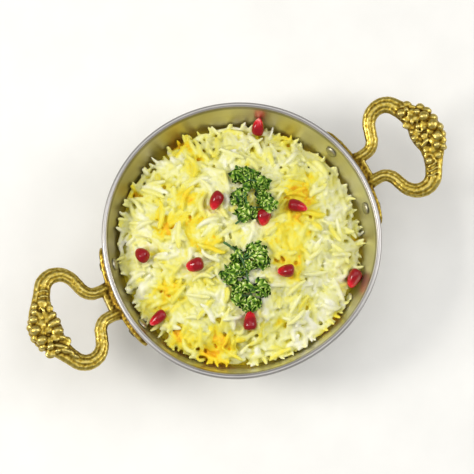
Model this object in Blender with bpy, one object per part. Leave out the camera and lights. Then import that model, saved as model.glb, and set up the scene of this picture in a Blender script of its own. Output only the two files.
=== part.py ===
"""A small round serving pan of heaped basmati rice.

Metres, +Z up. The origin is the centre of the pan's flat base, on the table. +X runs along the
longest extent, through the two handles, and +Z along the shortest. The pan is a spun, tin-bright
sheet bowl with a rolled rim. Two cast handles are riveted to its wall: each has a strap that hugs
the wall and a scrolled loop with a beaded crest. The rice is one heap out to its uneven outline.
Pomegranate arils and two sprigs of curly parsley lie on it.
"""
import math

import bmesh
import bpy
import numpy as np
from mathutils import Matrix, Vector
from mathutils.bvhtree import BVHTree

MM = 0.001
GAP = 0.3 * MM                      # clearance between pieces that touch on the real object
REST_GAP = 0.4 * MM                 # the same under a piece that lies on the uneven rice

# The pan.
BOWL_HEIGHT = 42.0 * MM
RIM_RADIUS = 70.0 * MM              # outer edge of the rolled rim
RIM_WIDTH = 2.7 * MM
RIM_DEPTH = 2.3 * MM                # height of the rolled rim
RIM_GROOVE = 0.25 * MM              # crease between the roll and the wall's own edge
RIM_GROOVE_PLACE = 0.75 * MM        # from the rim's inner edge
RIM_OVERHANG = 1.5 * MM             # how far the roll stands out past the wall
SHEET = 1.2 * MM
WALL_FLARE = math.radians(15.5)     # the wall's lean from upright, at the rim
WALL_BEND = 8.5                     # how fast the lean grows downwards, per metre
BASE_CORNER = 9.0 * MM              # outer radius of the turn from wall to base
BOWL_SEGMENTS = 56
RIM_LOBES = ((3, 0.59 * MM, math.radians(-18.4)),       # waves round, depth, direction
             (4, 0.33 * MM, math.radians(-43.7)))

# The handles, in their own frame: u runs outwards from the pan's axis, v across.
HANDLE_ANGLES = {"handle_right": math.radians(2.3), "handle_left": math.radians(177.4)}
STRAP_HALF_ANGLE = math.radians(22.8)
STRAP_TOP = 3.2 * MM                # below the rim's top
STRAP_HEIGHT = 9.6 * MM
STRAP_THICKNESS = 4.8 * MM
STRAP_DOME = 0.2                    # share of the thickness lost at the strap's long edges
RIVET_ANGLE = math.radians(15.0)    # from the handle's middle to each rivet
RIVET_SHANK = 1.5 * MM
RIVET_HEAD = 3.2 * MM
RIVET_DOME = 1.3 * MM
RIVET_TAIL = 2.4 * MM
RIVET_TAIL_DOME = 0.6 * MM
LOOP_RISE = math.radians(12.0)      # the loop climbs away from the wall
LOOP_ROOT_DROP = 7.6 * MM           # from the rim's top to the loop's middle at the wall
LOOP_HALF_THICKNESS = 2.6 * MM
CREST_HALF_THICKNESS = 3.1 * MM
# Half of the loop's centreline from the wall to the crest's middle: u, v and width.
LOOP_STATIONS = ((68.4, 7.0, 7.2), (74.4, 6.8, 6.2), (79.0, 7.5, 6.2), (82.1, 10.4, 6.3),
                 (83.7, 14.8, 6.4), (85.5, 19.2, 6.7), (89.0, 22.6, 7.3), (94.0, 23.7, 8.0),
                 (98.6, 21.8, 8.4), (101.7, 17.3, 8.6), (104.1, 12.8, 10.0), (106.4, 7.4, 13.0),
                 (107.0, 2.2, 15.4))
ARM_WIDTH = 8.0 * MM                # the loop is as thick as an arm up to this width
CREST_WIDTH = 15.0 * MM             # and as thick as the crest from this one
WEB_MIDDLE = 72.2 * MM              # the web of metal between the loop's roots
WEB_SIZE = (4.4 * MM, 12.0 * MM, 3.6 * MM)
CREST_BEADS = 7                     # on the crest's outer edge
CREST_BEAD_REACH = 12.5 * MM        # how far the row runs to each side of the middle
CREST_BEAD_RADIUS = 2.0 * MM        # at the middle; 4/5 of it at the row's ends

# The rice.
RICE_SEGMENTS = 44
RICE_RINGS = 8
RICE_EDGE_DEPTH = 14.8 * MM         # its edge below the rim's top, on average
RICE_EDGE_SLANT = 2.8 * MM          # how much deeper the edge is on its low side
RICE_LOW_SIDE = math.radians(28.0)
RICE_TOP = 43.5 * MM                # the heap's middle above the table
RICE_DOME = 2.3                     # power of the heap's round profile
RICE_LUMPS = ((0.9 * MM, 31.0 * MM, 0.4, 0.0), (0.7 * MM, 22.0 * MM, 1.7, 2.1),
              (0.5 * MM, 15.0 * MM, 2.9, 4.0))          # height, spacing, heading, phase

# Toppings. Each aril: x, y, heading of its tip and that tip's lean down, in degrees, then its
# length and width.
ARILS = ((35.4, 48.2, 62, -30, 9.4, 6.2), (-1.9, 22.7, 212, 12, 10.0, 6.6),
         (15.6, 4.4, 242, 10, 9.0, 7.0), (32.9, 1.6, 320, 6, 10.2, 6.4),
         (-47.1, 16.7, 107, 45, 8.8, 7.0), (-26.4, -1.3, 172, 15, 9.2, 7.1),
         (12.4, -24.9, 152, 20, 8.8, 6.7), (42.3, -43.0, 212, 8, 10.0, 6.7),
         (-55.0, -15.0, 194, 4, 9.8, 5.8), (-15.2, -38.5, 62, 6, 9.8, 6.9))
# Each sprig: its curled leaf clusters (x, y, radius), then its stem's points (x, y).
SPRIGS = {
    "parsley_upper": (((18.1, 31.3, 4.4), (12.3, 30.2, 4.2), (23.5, 21.7, 4.4), (17.3, 25.4, 3.6),
                       (9.1, 20.2, 4.6), (21.3, 11.8, 4.2), (8.4, 10.2, 4.6)),
                      ((17.3, 25.4), (13.2, 21.5), (11.2, 15.2), (9.6, 10.6), (5.4, 8.6),
                       (1.0, 7.7))),
    "parsley_lower": (((5.7, -7.1, 4.6), (-5.1, -6.6, 4.5), (3.2, -15.5, 5.0), (-14.0, -13.1, 4.5),
                       (-9.6, -16.8, 4.4), (-16.0, -25.0, 4.2), (-11.3, -29.6, 4.6),
                       (-0.7, -26.7, 4.5), (-7.0, -32.0, 4.0)),
                      ((-8.5, 2.4), (-6.1, -2.0), (-4.4, -9.0), (-5.6, -16.0), (-7.2, -23.0),
                       (-9.2, -29.6))),
}
STEM_RADIUS = 1.0 * MM
STEM_LIFT = 2.2 * MM                # the stem's middle above the rice
CLUSTER_LIFT = 0.5                  # a cluster's middle above the rice, in its own radii
SPRIG_VOXEL = 0.7 * MM
SPRIG_KEEP = 0.045                  # share of the sprig's triangles kept

COLOURS = {                         # linear colour, roughness, metallic
    "steel": ((0.62, 0.60, 0.58), 0.35, 1.0),
    "brass": ((0.60, 0.40, 0.11), 0.38, 1.0),
    "rice": ((0.86, 0.80, 0.50), 0.50, 0.0),
    "aril": ((0.40, 0.006, 0.02), 0.15, 0.0),
    "parsley": ((0.03, 0.11, 0.03), 0.55, 0.0),
}


# ---------------------------------------------------------------- shared tools
def clear_scene():
    for thing in list(bpy.data.objects):
        bpy.data.objects.remove(thing)


def make_material(name):
    colour, roughness, metallic = COLOURS[name]
    material = bpy.data.materials.new(name)
    material.use_nodes = True
    shader = material.node_tree.nodes["Principled BSDF"]
    shader.inputs["Base Color"].default_value = (*colour, 1.0)
    shader.inputs["Roughness"].default_value = roughness
    shader.inputs["Metallic"].default_value = metallic
    material.diffuse_color = (*colour, 1.0)
    return material


def add_object(name, shape, material):
    """Turns a finished bmesh into a smooth-shaded object."""
    bmesh.ops.recalc_face_normals(shape, faces=shape.faces)
    mesh = bpy.data.meshes.new(name)
    shape.to_mesh(mesh)
    shape.free()
    mesh.shade_smooth()
    mesh.set_sharp_from_angle(angle=math.radians(35.0))
    mesh.materials.append(material)
    thing = bpy.data.objects.new(name, mesh)
    bpy.context.scene.collection.objects.link(thing)
    return thing


def as_tool(thing):
    """Marks an object as a cutter or a filler that isn't a piece of its own."""
    thing.hide_render = True
    thing.display_type = "WIRE"
    return thing


def boolean(target, tool, operation):
    step = target.modifiers.new(operation.lower(), "BOOLEAN")
    step.operation = operation
    step.solver = "EXACT"
    step.object = tool


def add_rings(shape, rings, closed_ends):
    """Skins a list of rings, each a closed loop of points, into one tube."""
    loops = [[shape.verts.new(point) for point in ring] for ring in rings]
    count = len(loops[0])
    for lower, upper in zip(loops, loops[1:]):
        for k in range(count):
            after = (k + 1) % count
            shape.faces.new((lower[k], lower[after], upper[after], upper[k]))
    if closed_ends:
        for ring in (loops[0], loops[-1]):
            middle = sum((vert.co for vert in ring), Vector()) / count
            centre = shape.verts.new(middle)
            for k in range(count):
                shape.faces.new((ring[k], ring[(k + 1) % count], centre))
    return loops


def smooth_path(stations, steps):
    """Catmull-Rom curve through the stations, whatever numbers each of them holds."""
    rows = np.array(stations, dtype=float)
    rows = np.vstack([2 * rows[0] - rows[1], rows, 2 * rows[-1] - rows[-2]])
    path = []
    for a, b, c, d in zip(rows, rows[1:], rows[2:], rows[3:]):
        for k in range(steps):
            t = k / steps
            path.append(0.5 * (2 * b + (c - a) * t + (2 * a - 5 * b + 4 * c - d) * t * t
                               + (3 * b - a - 3 * c + d) * t ** 3))
    path.append(rows[-2])
    return np.array(path)


# ---------------------------------------------------------------- the pan
def lobe_offset(angle, z):
    """How far the worked sheet leaves a true circle: most at the rim, nothing at the base."""
    share = max(z, 0.0) / BOWL_HEIGHT
    return share * share * sum(depth * math.cos(waves * (angle - heading))
                               for waves, depth, heading in RIM_LOBES)


def wall_radius(z):
    """Outer radius of the true-round wall at height z."""
    drop = BOWL_HEIGHT - z
    return RIM_RADIUS - RIM_OVERHANG - drop * (math.tan(WALL_FLARE) + WALL_BEND * drop / 2)


def wall_lean(z):
    """The wall's lean from upright at height z."""
    return math.atan(math.tan(WALL_FLARE) + WALL_BEND * (BOWL_HEIGHT - z))


def wall_point(z, outwards):
    """A point on the wall, moved along the wall's outward normal."""
    lean = wall_lean(z)
    return (wall_radius(z) + outwards * math.cos(lean), z - outwards * math.sin(lean))


def wall_reach(angle, z, outwards):
    """Radius, at height z and in this direction, of the wall moved outwards along its normal."""
    return wall_radius(z) + lobe_offset(angle, z) + outwards / math.cos(wall_lean(z))


def corner_top():
    """Height at which the base's rounded corner meets the wall."""
    z = BASE_CORNER
    for _ in range(20):
        z = BASE_CORNER * (1 - math.sin(wall_lean(z)))
    return z


def base_profile(outwards, arc_steps):
    """From the axis along the base and round the corner to the wall, as (radius, height)."""
    top = corner_top()
    lean = wall_lean(top)
    centre = wall_radius(top) - BASE_CORNER * math.cos(lean)
    radius = BASE_CORNER + outwards
    points = [(0.0, -outwards)]
    for k in range(arc_steps + 1):
        turn = math.radians(-90) + (math.radians(90) - lean) * k / arc_steps
        points.append((centre + radius * math.cos(turn), BASE_CORNER + radius * math.sin(turn)))
    return points


def wall_profile(outwards, top, steps):
    """Up the wall from the rounded corner to the height top."""
    low = corner_top()
    return [wall_point(low + (top - low) * (k + 1) / steps, outwards) for k in range(steps)]


def rim_profile():
    """Over the rolled rim, from its underside at the wall to the wall's inner edge."""
    half = RIM_DEPTH / 2
    middle = RIM_RADIUS - half
    height = BOWL_HEIGHT - half
    inner_edge = RIM_RADIUS - RIM_WIDTH
    points = []
    for degrees in (-100, -60, -20, 20, 60, 95):
        turn = math.radians(degrees)
        points.append((middle + half * math.cos(turn), height + half * math.sin(turn)))
    points.append((inner_edge + RIM_GROOVE_PLACE, BOWL_HEIGHT - RIM_GROOVE))
    points.append((inner_edge + RIM_GROOVE_PLACE * 0.6, BOWL_HEIGHT - RIM_GROOVE * 0.2))
    points.append((inner_edge, BOWL_HEIGHT - RIM_GROOVE * 1.4))
    return points


def turned(profile, segments):
    """Turns a profile that starts and ends on the axis into a closed, slightly lobed solid."""
    shape = bmesh.new()
    ends = [shape.verts.new((0.0, 0.0, profile[k][1])) for k in (0, -1)]
    rings = []
    for radius, z in profile[1:-1]:
        ring = []
        for k in range(segments):
            angle = math.tau * k / segments
            reach = radius + lobe_offset(angle, z)
            ring.append((reach * math.cos(angle), reach * math.sin(angle), z))
        rings.append(ring)
    loops = add_rings(shape, rings, closed_ends=False)
    for ring, end in ((loops[0], ends[0]), (loops[-1], ends[1])):
        for k in range(segments):
            shape.faces.new((ring[k], ring[(k + 1) % segments], end))
    return shape


def make_bowl(material):
    outside = base_profile(0.0, 3) + wall_profile(0.0, BOWL_HEIGHT - RIM_DEPTH, 5)
    inside = base_profile(-SHEET, 3) + wall_profile(-SHEET, BOWL_HEIGHT - RIM_DEPTH, 5)
    profile = outside + rim_profile() + inside[::-1]
    return add_object("bowl", turned(profile, BOWL_SEGMENTS), material)


# ---------------------------------------------------------------- the handles
def loop_point(u, v, above):
    """A point of the loop's tilted plane, lifted off that plane by above."""
    root = wall_radius(BOWL_HEIGHT - LOOP_ROOT_DROP)
    lift = BOWL_HEIGHT - LOOP_ROOT_DROP + (u - root) * math.tan(LOOP_RISE)
    return Vector((u - above * math.sin(LOOP_RISE), v, lift + above * math.cos(LOOP_RISE)))


def loop_path(steps):
    """The whole loop from one root to the other: u, v and width, in metres."""
    half = [tuple(number * MM for number in station) for station in LOOP_STATIONS]
    other = [(u, -v, width) for u, v, width in reversed(half)]
    return smooth_path(half + other, steps)


def half_thickness(width):
    """The loop is thicker where its crest is wide."""
    share = min(max((width - ARM_WIDTH) / (CREST_WIDTH - ARM_WIDTH), 0.0), 1.0)
    return LOOP_HALF_THICKNESS + (CREST_HALF_THICKNESS - LOOP_HALF_THICKNESS) * share


def loop_shape():
    shape = bmesh.new()
    path = loop_path(2)
    tangents = np.gradient(path[:, :2], axis=0)
    sides = 8
    rings = []
    for (u, v, width), (du, dv) in zip(path, tangents):
        length = math.hypot(du, dv)
        across = (-dv / length, du / length)
        thick = half_thickness(width)
        ring = []
        for k in range(sides):
            turn = math.tau * (k + 0.5) / sides
            side = width / 2 * math.cos(turn) * 1.06
            ring.append(loop_point(u + across[0] * side, v + across[1] * side,
                                   thick * math.sin(turn) * 1.06))
        rings.append(ring)
    add_rings(shape, rings, closed_ends=True)
    return shape


def strap_shape(angle):
    """The strap, bent to the wall behind it, with round ends and a domed outer face."""
    shape = bmesh.new()
    stations = 18
    rows = 4
    half_height = STRAP_HEIGHT / 2
    middle = BOWL_HEIGHT - STRAP_TOP - half_height
    half_length = STRAP_HALF_ANGLE * wall_radius(middle)
    rings = []
    for i in range(stations + 1):
        turn = STRAP_HALF_ANGLE * math.sin(math.pi / 2 * (2 * i / stations - 1))
        from_end = half_length * (1 - abs(turn) / STRAP_HALF_ANGLE)
        short = 1 - min(from_end / half_height, 1.0)
        tall = half_height * max(math.sqrt(1 - short * short), 0.12)
        ring = []
        for side in (0, 1):
            for j in range(rows):
                share = 2 * j / (rows - 1) - 1
                if side:
                    share = -share
                z = middle + tall * share
                dome = STRAP_THICKNESS * (1 - STRAP_DOME * share * share) if side else 0.0
                radius, z = wall_point(z, GAP + 0.05 * MM + dome)
                radius += lobe_offset(turn + angle, z)
                ring.append((radius * math.cos(turn), radius * math.sin(turn), z))
        rings.append(ring)
    add_rings(shape, rings, closed_ends=True)
    return shape


def root_web_shape():
    """The web of metal between the loop's two roots, just clear of the wall."""
    shape = bmesh.new()
    bmesh.ops.create_cube(shape, size=1.0)
    place = Matrix.Translation(loop_point(WEB_MIDDLE, 0.0, 0.0))
    turn = Matrix.Rotation(-LOOP_RISE, 4, "Y")
    bmesh.ops.transform(shape, verts=shape.verts,
                        matrix=place @ turn @ Matrix.Diagonal((*WEB_SIZE, 1.0)))
    return shape


def crest_bead_shape(index):
    """One bead of the row along the crest's outer edge."""
    share = 2 * index / (CREST_BEADS - 1) - 1
    path = loop_path(6)
    crest = path[len(path) // 4: -len(path) // 4]
    nearest = crest[np.argmin(abs(crest[:, 1] - share * CREST_BEAD_REACH))]
    u = nearest[0] + nearest[2] / 2 * (1 - 0.22 * abs(share))
    shape = bmesh.new()
    bmesh.ops.create_icosphere(shape, subdivisions=2,
                               radius=CREST_BEAD_RADIUS * (1 - 0.2 * abs(share)))
    bmesh.ops.translate(shape, verts=shape.verts, vec=loop_point(u, nearest[1], 0.0))
    return shape


def make_handle(name, angle, material):
    handle = add_object(name, strap_shape(angle), material)
    fillers = {"loop": loop_shape(), "web": root_web_shape()}
    for index in range(CREST_BEADS):
        fillers[f"bead_{index + 1}"] = crest_bead_shape(index)
    for part, shape in fillers.items():
        filler = as_tool(add_object(f"{name}_{part}", shape, material))
        boolean(handle, filler, "UNION")
    for side in (-1, 1):
        swing = side * RIVET_ANGLE
        boolean(handle, rivet_hole(f"{name}_hole_{side + 2}", angle + swing, swing), "DIFFERENCE")
    handle.rotation_euler.z = angle
    for part in handle.modifiers:
        if part.object.name.startswith(name):
            part.object.parent = handle
    return handle


# ---------------------------------------------------------------- the rivets
def rivet_frame(angle, swing):
    """Lays +Z along the wall's outward normal at a rivet.

    angle is the rivet's direction on the pan, and swing the same in the frame it is made in.
    """
    z = BOWL_HEIGHT - STRAP_TOP - STRAP_HEIGHT / 2
    radius = wall_radius(z) + lobe_offset(angle, z)
    lay = Matrix.Rotation(math.pi / 2 + wall_lean(z), 4, "Y")
    place = Matrix.Translation((radius * math.cos(swing), radius * math.sin(swing), z))
    return place @ Matrix.Rotation(swing, 4, "Z") @ lay


def rivet_hole(name, angle, swing):
    """A cutter for a rivet's clearance hole through the wall and the strap."""
    shape = bmesh.new()
    bmesh.ops.create_cone(shape, segments=16, radius1=RIVET_SHANK + GAP, radius2=RIVET_SHANK + GAP,
                          depth=16 * MM, cap_ends=True)
    bmesh.ops.transform(shape, verts=shape.verts, matrix=rivet_frame(angle, swing))
    return as_tool(add_object(name, shape, bpy.data.materials["steel"]))


def make_rivet(name, angle, material):
    """Domed head inside the pan, shank through wall and strap, and a low head outside."""
    inner = -SHEET - GAP
    outer = GAP + STRAP_THICKNESS + 2 * GAP
    profile = [(0.0, inner - RIVET_DOME), (RIVET_HEAD * 0.55, inner - RIVET_DOME * 0.82),
               (RIVET_HEAD * 0.9, inner - RIVET_DOME * 0.4), (RIVET_HEAD, inner),
               (RIVET_SHANK, inner), (RIVET_SHANK, outer), (RIVET_TAIL, outer),
               (RIVET_TAIL * 0.7, outer + RIVET_TAIL_DOME * 0.8), (0.0, outer + RIVET_TAIL_DOME)]
    shape = bmesh.new()
    segments = 10
    ends = [shape.verts.new((0.0, 0.0, profile[k][1])) for k in (0, -1)]
    rings = [[(radius * math.cos(math.tau * k / segments), radius * math.sin(math.tau * k / segments),
               z) for k in range(segments)] for radius, z in profile[1:-1]]
    loops = add_rings(shape, rings, closed_ends=False)
    for ring, end in ((loops[0], ends[0]), (loops[-1], ends[1])):
        for k in range(segments):
            shape.faces.new((ring[k], ring[(k + 1) % segments], end))
    rivet = add_object(name, shape, material)
    rivet.matrix_world = rivet_frame(angle, angle)
    return rivet


# ---------------------------------------------------------------- the rice
def rice_edge(angle):
    """Height at which the heap meets the wall in this direction."""
    slant = RICE_EDGE_SLANT * math.cos(angle - RICE_LOW_SIDE)
    ripple = 0.6 * MM * math.sin(5 * angle + 1.0) + 0.5 * MM * math.sin(9 * angle)
    return BOWL_HEIGHT - RICE_EDGE_DEPTH - slant + ripple


def rice_edge_radius(angle):
    return wall_reach(angle, rice_edge(angle), -SHEET - GAP)


def rice_top(x, y):
    """Height of the heap's surface above the table."""
    angle = math.atan2(y, x)
    share = min(math.hypot(x, y) / rice_edge_radius(angle), 1.0)
    edge = rice_edge(angle)
    lumps = 0.0
    for height, spacing, heading, phase in RICE_LUMPS:
        along = (x * math.cos(heading) + y * math.sin(heading)) / spacing
        aside = (y * math.cos(heading) - x * math.sin(heading)) / spacing
        lumps += height * math.sin(math.tau * along + phase) * math.cos(math.tau * aside)
    fade = 1 - share ** 4
    return edge + (RICE_TOP - edge) * (1 - share ** RICE_DOME) + lumps * fade


def make_rice(material):
    shape = bmesh.new()
    angles = [math.tau * k / RICE_SEGMENTS for k in range(RICE_SEGMENTS)]
    low = corner_top()
    floor = base_profile(-SHEET - GAP, 3)
    summit = shape.verts.new((0.0, 0.0, rice_top(0.0, 0.0)))
    bottom = shape.verts.new((0.0, 0.0, floor[0][1]))
    rings = []
    for k in range(1, RICE_RINGS + 1):
        share = (k / RICE_RINGS) ** 0.85
        ring = []
        for angle in angles:
            reach = rice_edge_radius(angle) * share
            x, y = reach * math.cos(angle), reach * math.sin(angle)
            ring.append((x, y, rice_top(x, y)))
        rings.append(ring)
    side_steps = 3
    for k in range(1, side_steps + 1):
        ring = []
        for angle in angles:
            z = rice_edge(angle) + (low - rice_edge(angle)) * k / side_steps
            radius = wall_reach(angle, z, -SHEET - GAP)
            ring.append((radius * math.cos(angle), radius * math.sin(angle), z))
        rings.append(ring)
    for radius, z in reversed(floor[1:-1]):
        rings.append([(radius * math.cos(angle), radius * math.sin(angle), z) for angle in angles])
    loops = add_rings(shape, rings, closed_ends=False)
    for ring, end in ((loops[0], summit), (loops[-1], bottom)):
        for k in range(RICE_SEGMENTS):
            shape.faces.new((ring[k], ring[(k + 1) % RICE_SEGMENTS], end))
    bmesh.ops.triangulate(shape, faces=shape.faces)
    return add_object("rice", shape, material)


# ---------------------------------------------------------------- the toppings
def surface_of(thing):
    """The object's faces, ready for finding the height of its surface."""
    mesh = thing.data
    return BVHTree.FromPolygons([vert.co for vert in mesh.vertices],
                                [face.vertices for face in mesh.polygons])


def ground_height(surface, x, y):
    """Least height of a resting piece's underside above this spot of the heap."""
    hit = surface.ray_cast(Vector((x, y, 1.0)), Vector((0.0, 0.0, -1.0)))[0]
    return hit.z + REST_GAP if hit else 0.0


def wall_excess(point):
    """How far a point lies past the wall's inner face, less the clearance."""
    reach = wall_reach(math.atan2(point.y, point.x), point.z, -SHEET)
    return math.hypot(point.x, point.y) + REST_GAP - reach


def settle(place, points, surface):
    """Rests a piece just above the heap, after sliding it inwards until it clears the wall."""
    for _ in range(30):
        reach = [Vector((place.x, place.y, 0.0)) + point for point in points]
        place.z = max(ground_height(surface, point.x, point.y) - point.z for point in reach)
        excess = max(wall_excess(place + point) for point in points)
        if excess <= 0.0:
            break
        place -= Vector((place.x, place.y, 0.0)).normalized() * (excess + 0.05 * MM)
    return place


def make_aril(name, x, y, heading, lean, length, width, surface, material):
    """A drop-shaped seed coat: round at one end, drawn to a blunt tip at the other."""
    shape = bmesh.new()
    bmesh.ops.create_uvsphere(shape, u_segments=10, v_segments=6, radius=1.0)
    for vert in shape.verts:
        along = vert.co.z
        waist = 1.0 - 0.28 * along - 0.10 * along * along
        facet = 1.0 + 0.05 * math.cos(5 * math.atan2(vert.co.y, vert.co.x))
        vert.co.x *= width / 2 * MM * waist * facet
        vert.co.y *= width / 2 * MM * waist * facet
        vert.co.z = along * length / 2 * MM
    turn = Matrix.Rotation(math.radians(heading), 4, "Z")
    lay = Matrix.Rotation(math.radians(90 + lean), 4, "Y")
    bmesh.ops.transform(shape, verts=shape.verts, matrix=turn @ lay)
    aril = add_object(name, shape, material)
    points = [vert.co for vert in aril.data.vertices]
    aril.location = settle(Vector((x * MM, y * MM, 0.0)), points, surface)
    return aril


def add_ball(shape, centre, radius):
    ball = bmesh.ops.create_icosphere(shape, subdivisions=2, radius=radius)
    bmesh.ops.translate(shape, verts=ball["verts"], vec=centre)


def add_stalk(shape, path, surface):
    """A run of small balls that the skin turns into a stalk."""
    for x, y in path:
        add_ball(shape, (x, y, ground_height(surface, x, y) + STEM_LIFT), STEM_RADIUS)


def make_sprig(name, clusters, stem, surface, material):
    """Curled leaf clusters and their stem, grown into one lumpy body that lies on the rice."""
    shape = bmesh.new()
    for x, y, radius in clusters:
        height = ground_height(surface, x * MM, y * MM) + CLUSTER_LIFT * radius * MM
        add_ball(shape, (x * MM, y * MM, height), radius * MM)
    stem_path = smooth_path([(x * MM, y * MM) for x, y in stem], 8)
    add_stalk(shape, stem_path, surface)
    for x, y, _ in clusters:
        start = np.array([x * MM, y * MM])
        joint = stem_path[np.argmin(np.linalg.norm(stem_path - start, axis=1))]
        add_stalk(shape, [start + (joint - start) * k / 8 for k in range(9)], surface)
    draft = as_tool(add_object(f"{name}_draft", shape, material))
    skin = draft.modifiers.new("skin", "REMESH")
    skin.mode = "VOXEL"
    skin.voxel_size = SPRIG_VOXEL
    thin = draft.modifiers.new("thin", "DECIMATE")
    thin.ratio = SPRIG_KEEP
    grown = bmesh.new()
    grown.from_object(draft, bpy.context.evaluated_depsgraph_get())
    for vert in grown.verts:
        vert.co.z = max(vert.co.z, ground_height(surface, vert.co.x, vert.co.y))
    bpy.data.objects.remove(draft)
    return add_object(name, grown, material)


def main():
    clear_scene()
    materials = {name: make_material(name) for name in COLOURS}
    bowl = make_bowl(materials["steel"])
    number = 0
    for name, angle in HANDLE_ANGLES.items():
        make_handle(name, angle, materials["brass"])
        for side in (-1, 1):
            number += 1
            turn = angle + side * RIVET_ANGLE
            make_rivet(f"rivet_{number}", turn, materials["steel"])
            boolean(bowl, rivet_hole(f"bowl_hole_{number}", turn, turn), "DIFFERENCE")
    surface = surface_of(make_rice(materials["rice"]))
    for index, aril in enumerate(ARILS):
        make_aril(f"aril_{index + 1:02d}", *aril, surface, materials["aril"])
    for name, (clusters, stem) in SPRIGS.items():
        make_sprig(name, clusters, stem, surface, materials["parsley"])


main()
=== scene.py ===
import math

import bmesh
import bpy
import numpy as np
from mathutils import Matrix, Vector
from mathutils.kdtree import KDTree


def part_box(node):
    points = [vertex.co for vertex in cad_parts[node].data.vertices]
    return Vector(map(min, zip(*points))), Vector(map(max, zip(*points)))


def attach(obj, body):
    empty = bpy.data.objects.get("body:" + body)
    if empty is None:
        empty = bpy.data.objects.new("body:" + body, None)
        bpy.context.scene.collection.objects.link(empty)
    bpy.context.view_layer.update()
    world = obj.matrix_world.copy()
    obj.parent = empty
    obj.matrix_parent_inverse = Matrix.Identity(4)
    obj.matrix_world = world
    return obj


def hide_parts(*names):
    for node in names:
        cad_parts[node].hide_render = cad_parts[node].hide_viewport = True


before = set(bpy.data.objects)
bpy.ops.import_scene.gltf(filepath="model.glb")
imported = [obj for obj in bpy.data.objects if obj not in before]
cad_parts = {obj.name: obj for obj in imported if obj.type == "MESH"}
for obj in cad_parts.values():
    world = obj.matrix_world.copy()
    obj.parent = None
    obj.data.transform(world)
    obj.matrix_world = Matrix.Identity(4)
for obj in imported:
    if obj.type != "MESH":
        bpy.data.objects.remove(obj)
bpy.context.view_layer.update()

MM = 0.001

# The pan, as the part has it.
BOWL_HEIGHT = 42.0 * MM
RIM_RADIUS = 69.92 * MM            # a hair inside the part's facets
RIM_WIDTH = 2.7 * MM
RIM_DEPTH = 2.3 * MM
RIM_OVERHANG = 1.5 * MM
SHEET = 1.2 * MM
GAP = 0.3 * MM
WALL_FLARE = math.radians(15.5)
WALL_BEND = 8.5
BASE_CORNER = 9.0 * MM
PAN_SEGMENTS = 288
BASE_RINGS, CORNER_STEPS, WALL_STEPS = 6, 12, 26
ROLL_STEPS = 16
# The sheet's own edge inside the roll: outwards from the rim's inner edge, and below its top.
SHEET_EDGE = ((0.98, 0.10), (0.83, 0.28), (0.75, 0.36), (0.68, 0.28), (0.58, 0.08), (0.44, 0.01),
              (0.28, 0.03), (0.12, 0.16), (0.0, 0.42))
# The worked sheet's waves: how many round the rim, how deep, and where the first one peaks.
RIM_LOBES = ((3, 0.59 * MM, math.radians(-18.4)), (4, 0.33 * MM, math.radians(-43.7)))

# The handles: u runs outwards from the pan's axis, v across.
LOOP_STEPS = 9                      # from one station to the next
HANDLE_ANGLES = {"right": math.radians(2.3), "left": math.radians(177.4)}
STRAP_HALF_ANGLE = math.radians(22.8)
STRAP_TOP = 3.2 * MM
STRAP_HEIGHT = 9.6 * MM
STRAP_THICKNESS = 4.8 * MM
STRAP_DOME = 0.2
RIVET_ANGLE = math.radians(15.0)
# A rivet's head inside the wall and its set head outside: radius and lift of each point, in mm.
RIVET_HEAD = ((0.0, 1.30), (0.9, 1.27), (1.7, 1.15), (2.4, 0.90), (2.85, 0.60), (3.1, 0.30),
              (3.2, 0.08), (3.12, 0.0), (1.5, 0.0))
RIVET_TAIL = ((1.5, 0.0), (2.3, 0.0), (2.4, 0.12), (2.1, 0.35), (1.4, 0.52), (0.6, 0.6),
              (0.0, 0.6))
LOOP_RISE = math.radians(12.0)
LOOP_ROOT_DROP = 7.6 * MM
LOOP_HALF_THICKNESS = 2.6 * MM
CREST_HALF_THICKNESS = 3.1 * MM
# Half of the loop's middle line, from the wall to the crest: u, v and width, in mm.
LOOP_STATIONS = ((68.4, 7.0, 7.2), (74.4, 6.8, 6.2), (79.0, 7.5, 6.2), (82.1, 10.4, 6.3),
                 (83.7, 14.8, 6.4), (85.5, 19.2, 6.7), (89.0, 22.6, 7.3), (94.0, 23.7, 8.0),
                 (98.6, 21.8, 8.4), (101.7, 17.3, 8.6), (104.1, 12.8, 10.0), (106.4, 7.4, 13.0),
                 (107.0, 2.2, 15.4))
ARM_WIDTH = 8.0 * MM
CREST_WIDTH = 15.0 * MM
WEB_MIDDLE = 72.2 * MM
WEB_SIZE = (4.4 * MM, 12.0 * MM, 3.6 * MM)
# Grooves along the arms, either side of a rib and near the edges, and the crest's dish: place and
# half width as shares of the loop's half width, then depth.
FLUTE = (0.42, 0.13, 0.46 * MM)
EDGE_GROOVE = (0.80, 0.10, 0.23 * MM)
DISH = (-0.05, 0.30, 0.9 * MM)

# The heap of rice.
RICE_EDGE_DEPTH = 14.8 * MM
RICE_EDGE_SLANT = 2.8 * MM
RICE_LOW_SIDE = math.radians(28.0)
RICE_TOP = 43.5 * MM
RICE_DOME = 2.3
RICE_LUMPS = ((0.9 * MM, 31.0 * MM, 0.4, 0.0), (0.7 * MM, 22.0 * MM, 1.7, 2.1),
              (0.5 * MM, 15.0 * MM, 2.9, 4.0))

# Toppings: heading of each aril's tip and that tip's lean down in degrees, length and width in mm.
ARILS = ((62, -30, 9.4, 6.2), (212, 12, 10.0, 6.6), (242, 10, 9.0, 7.0), (320, 6, 10.2, 6.4),
         (107, 45, 8.8, 7.0), (172, 15, 9.2, 7.1), (152, 20, 8.8, 6.7), (212, 8, 10.0, 6.7),
         (194, 4, 9.8, 5.8), (62, 6, 9.8, 6.9))


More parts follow.
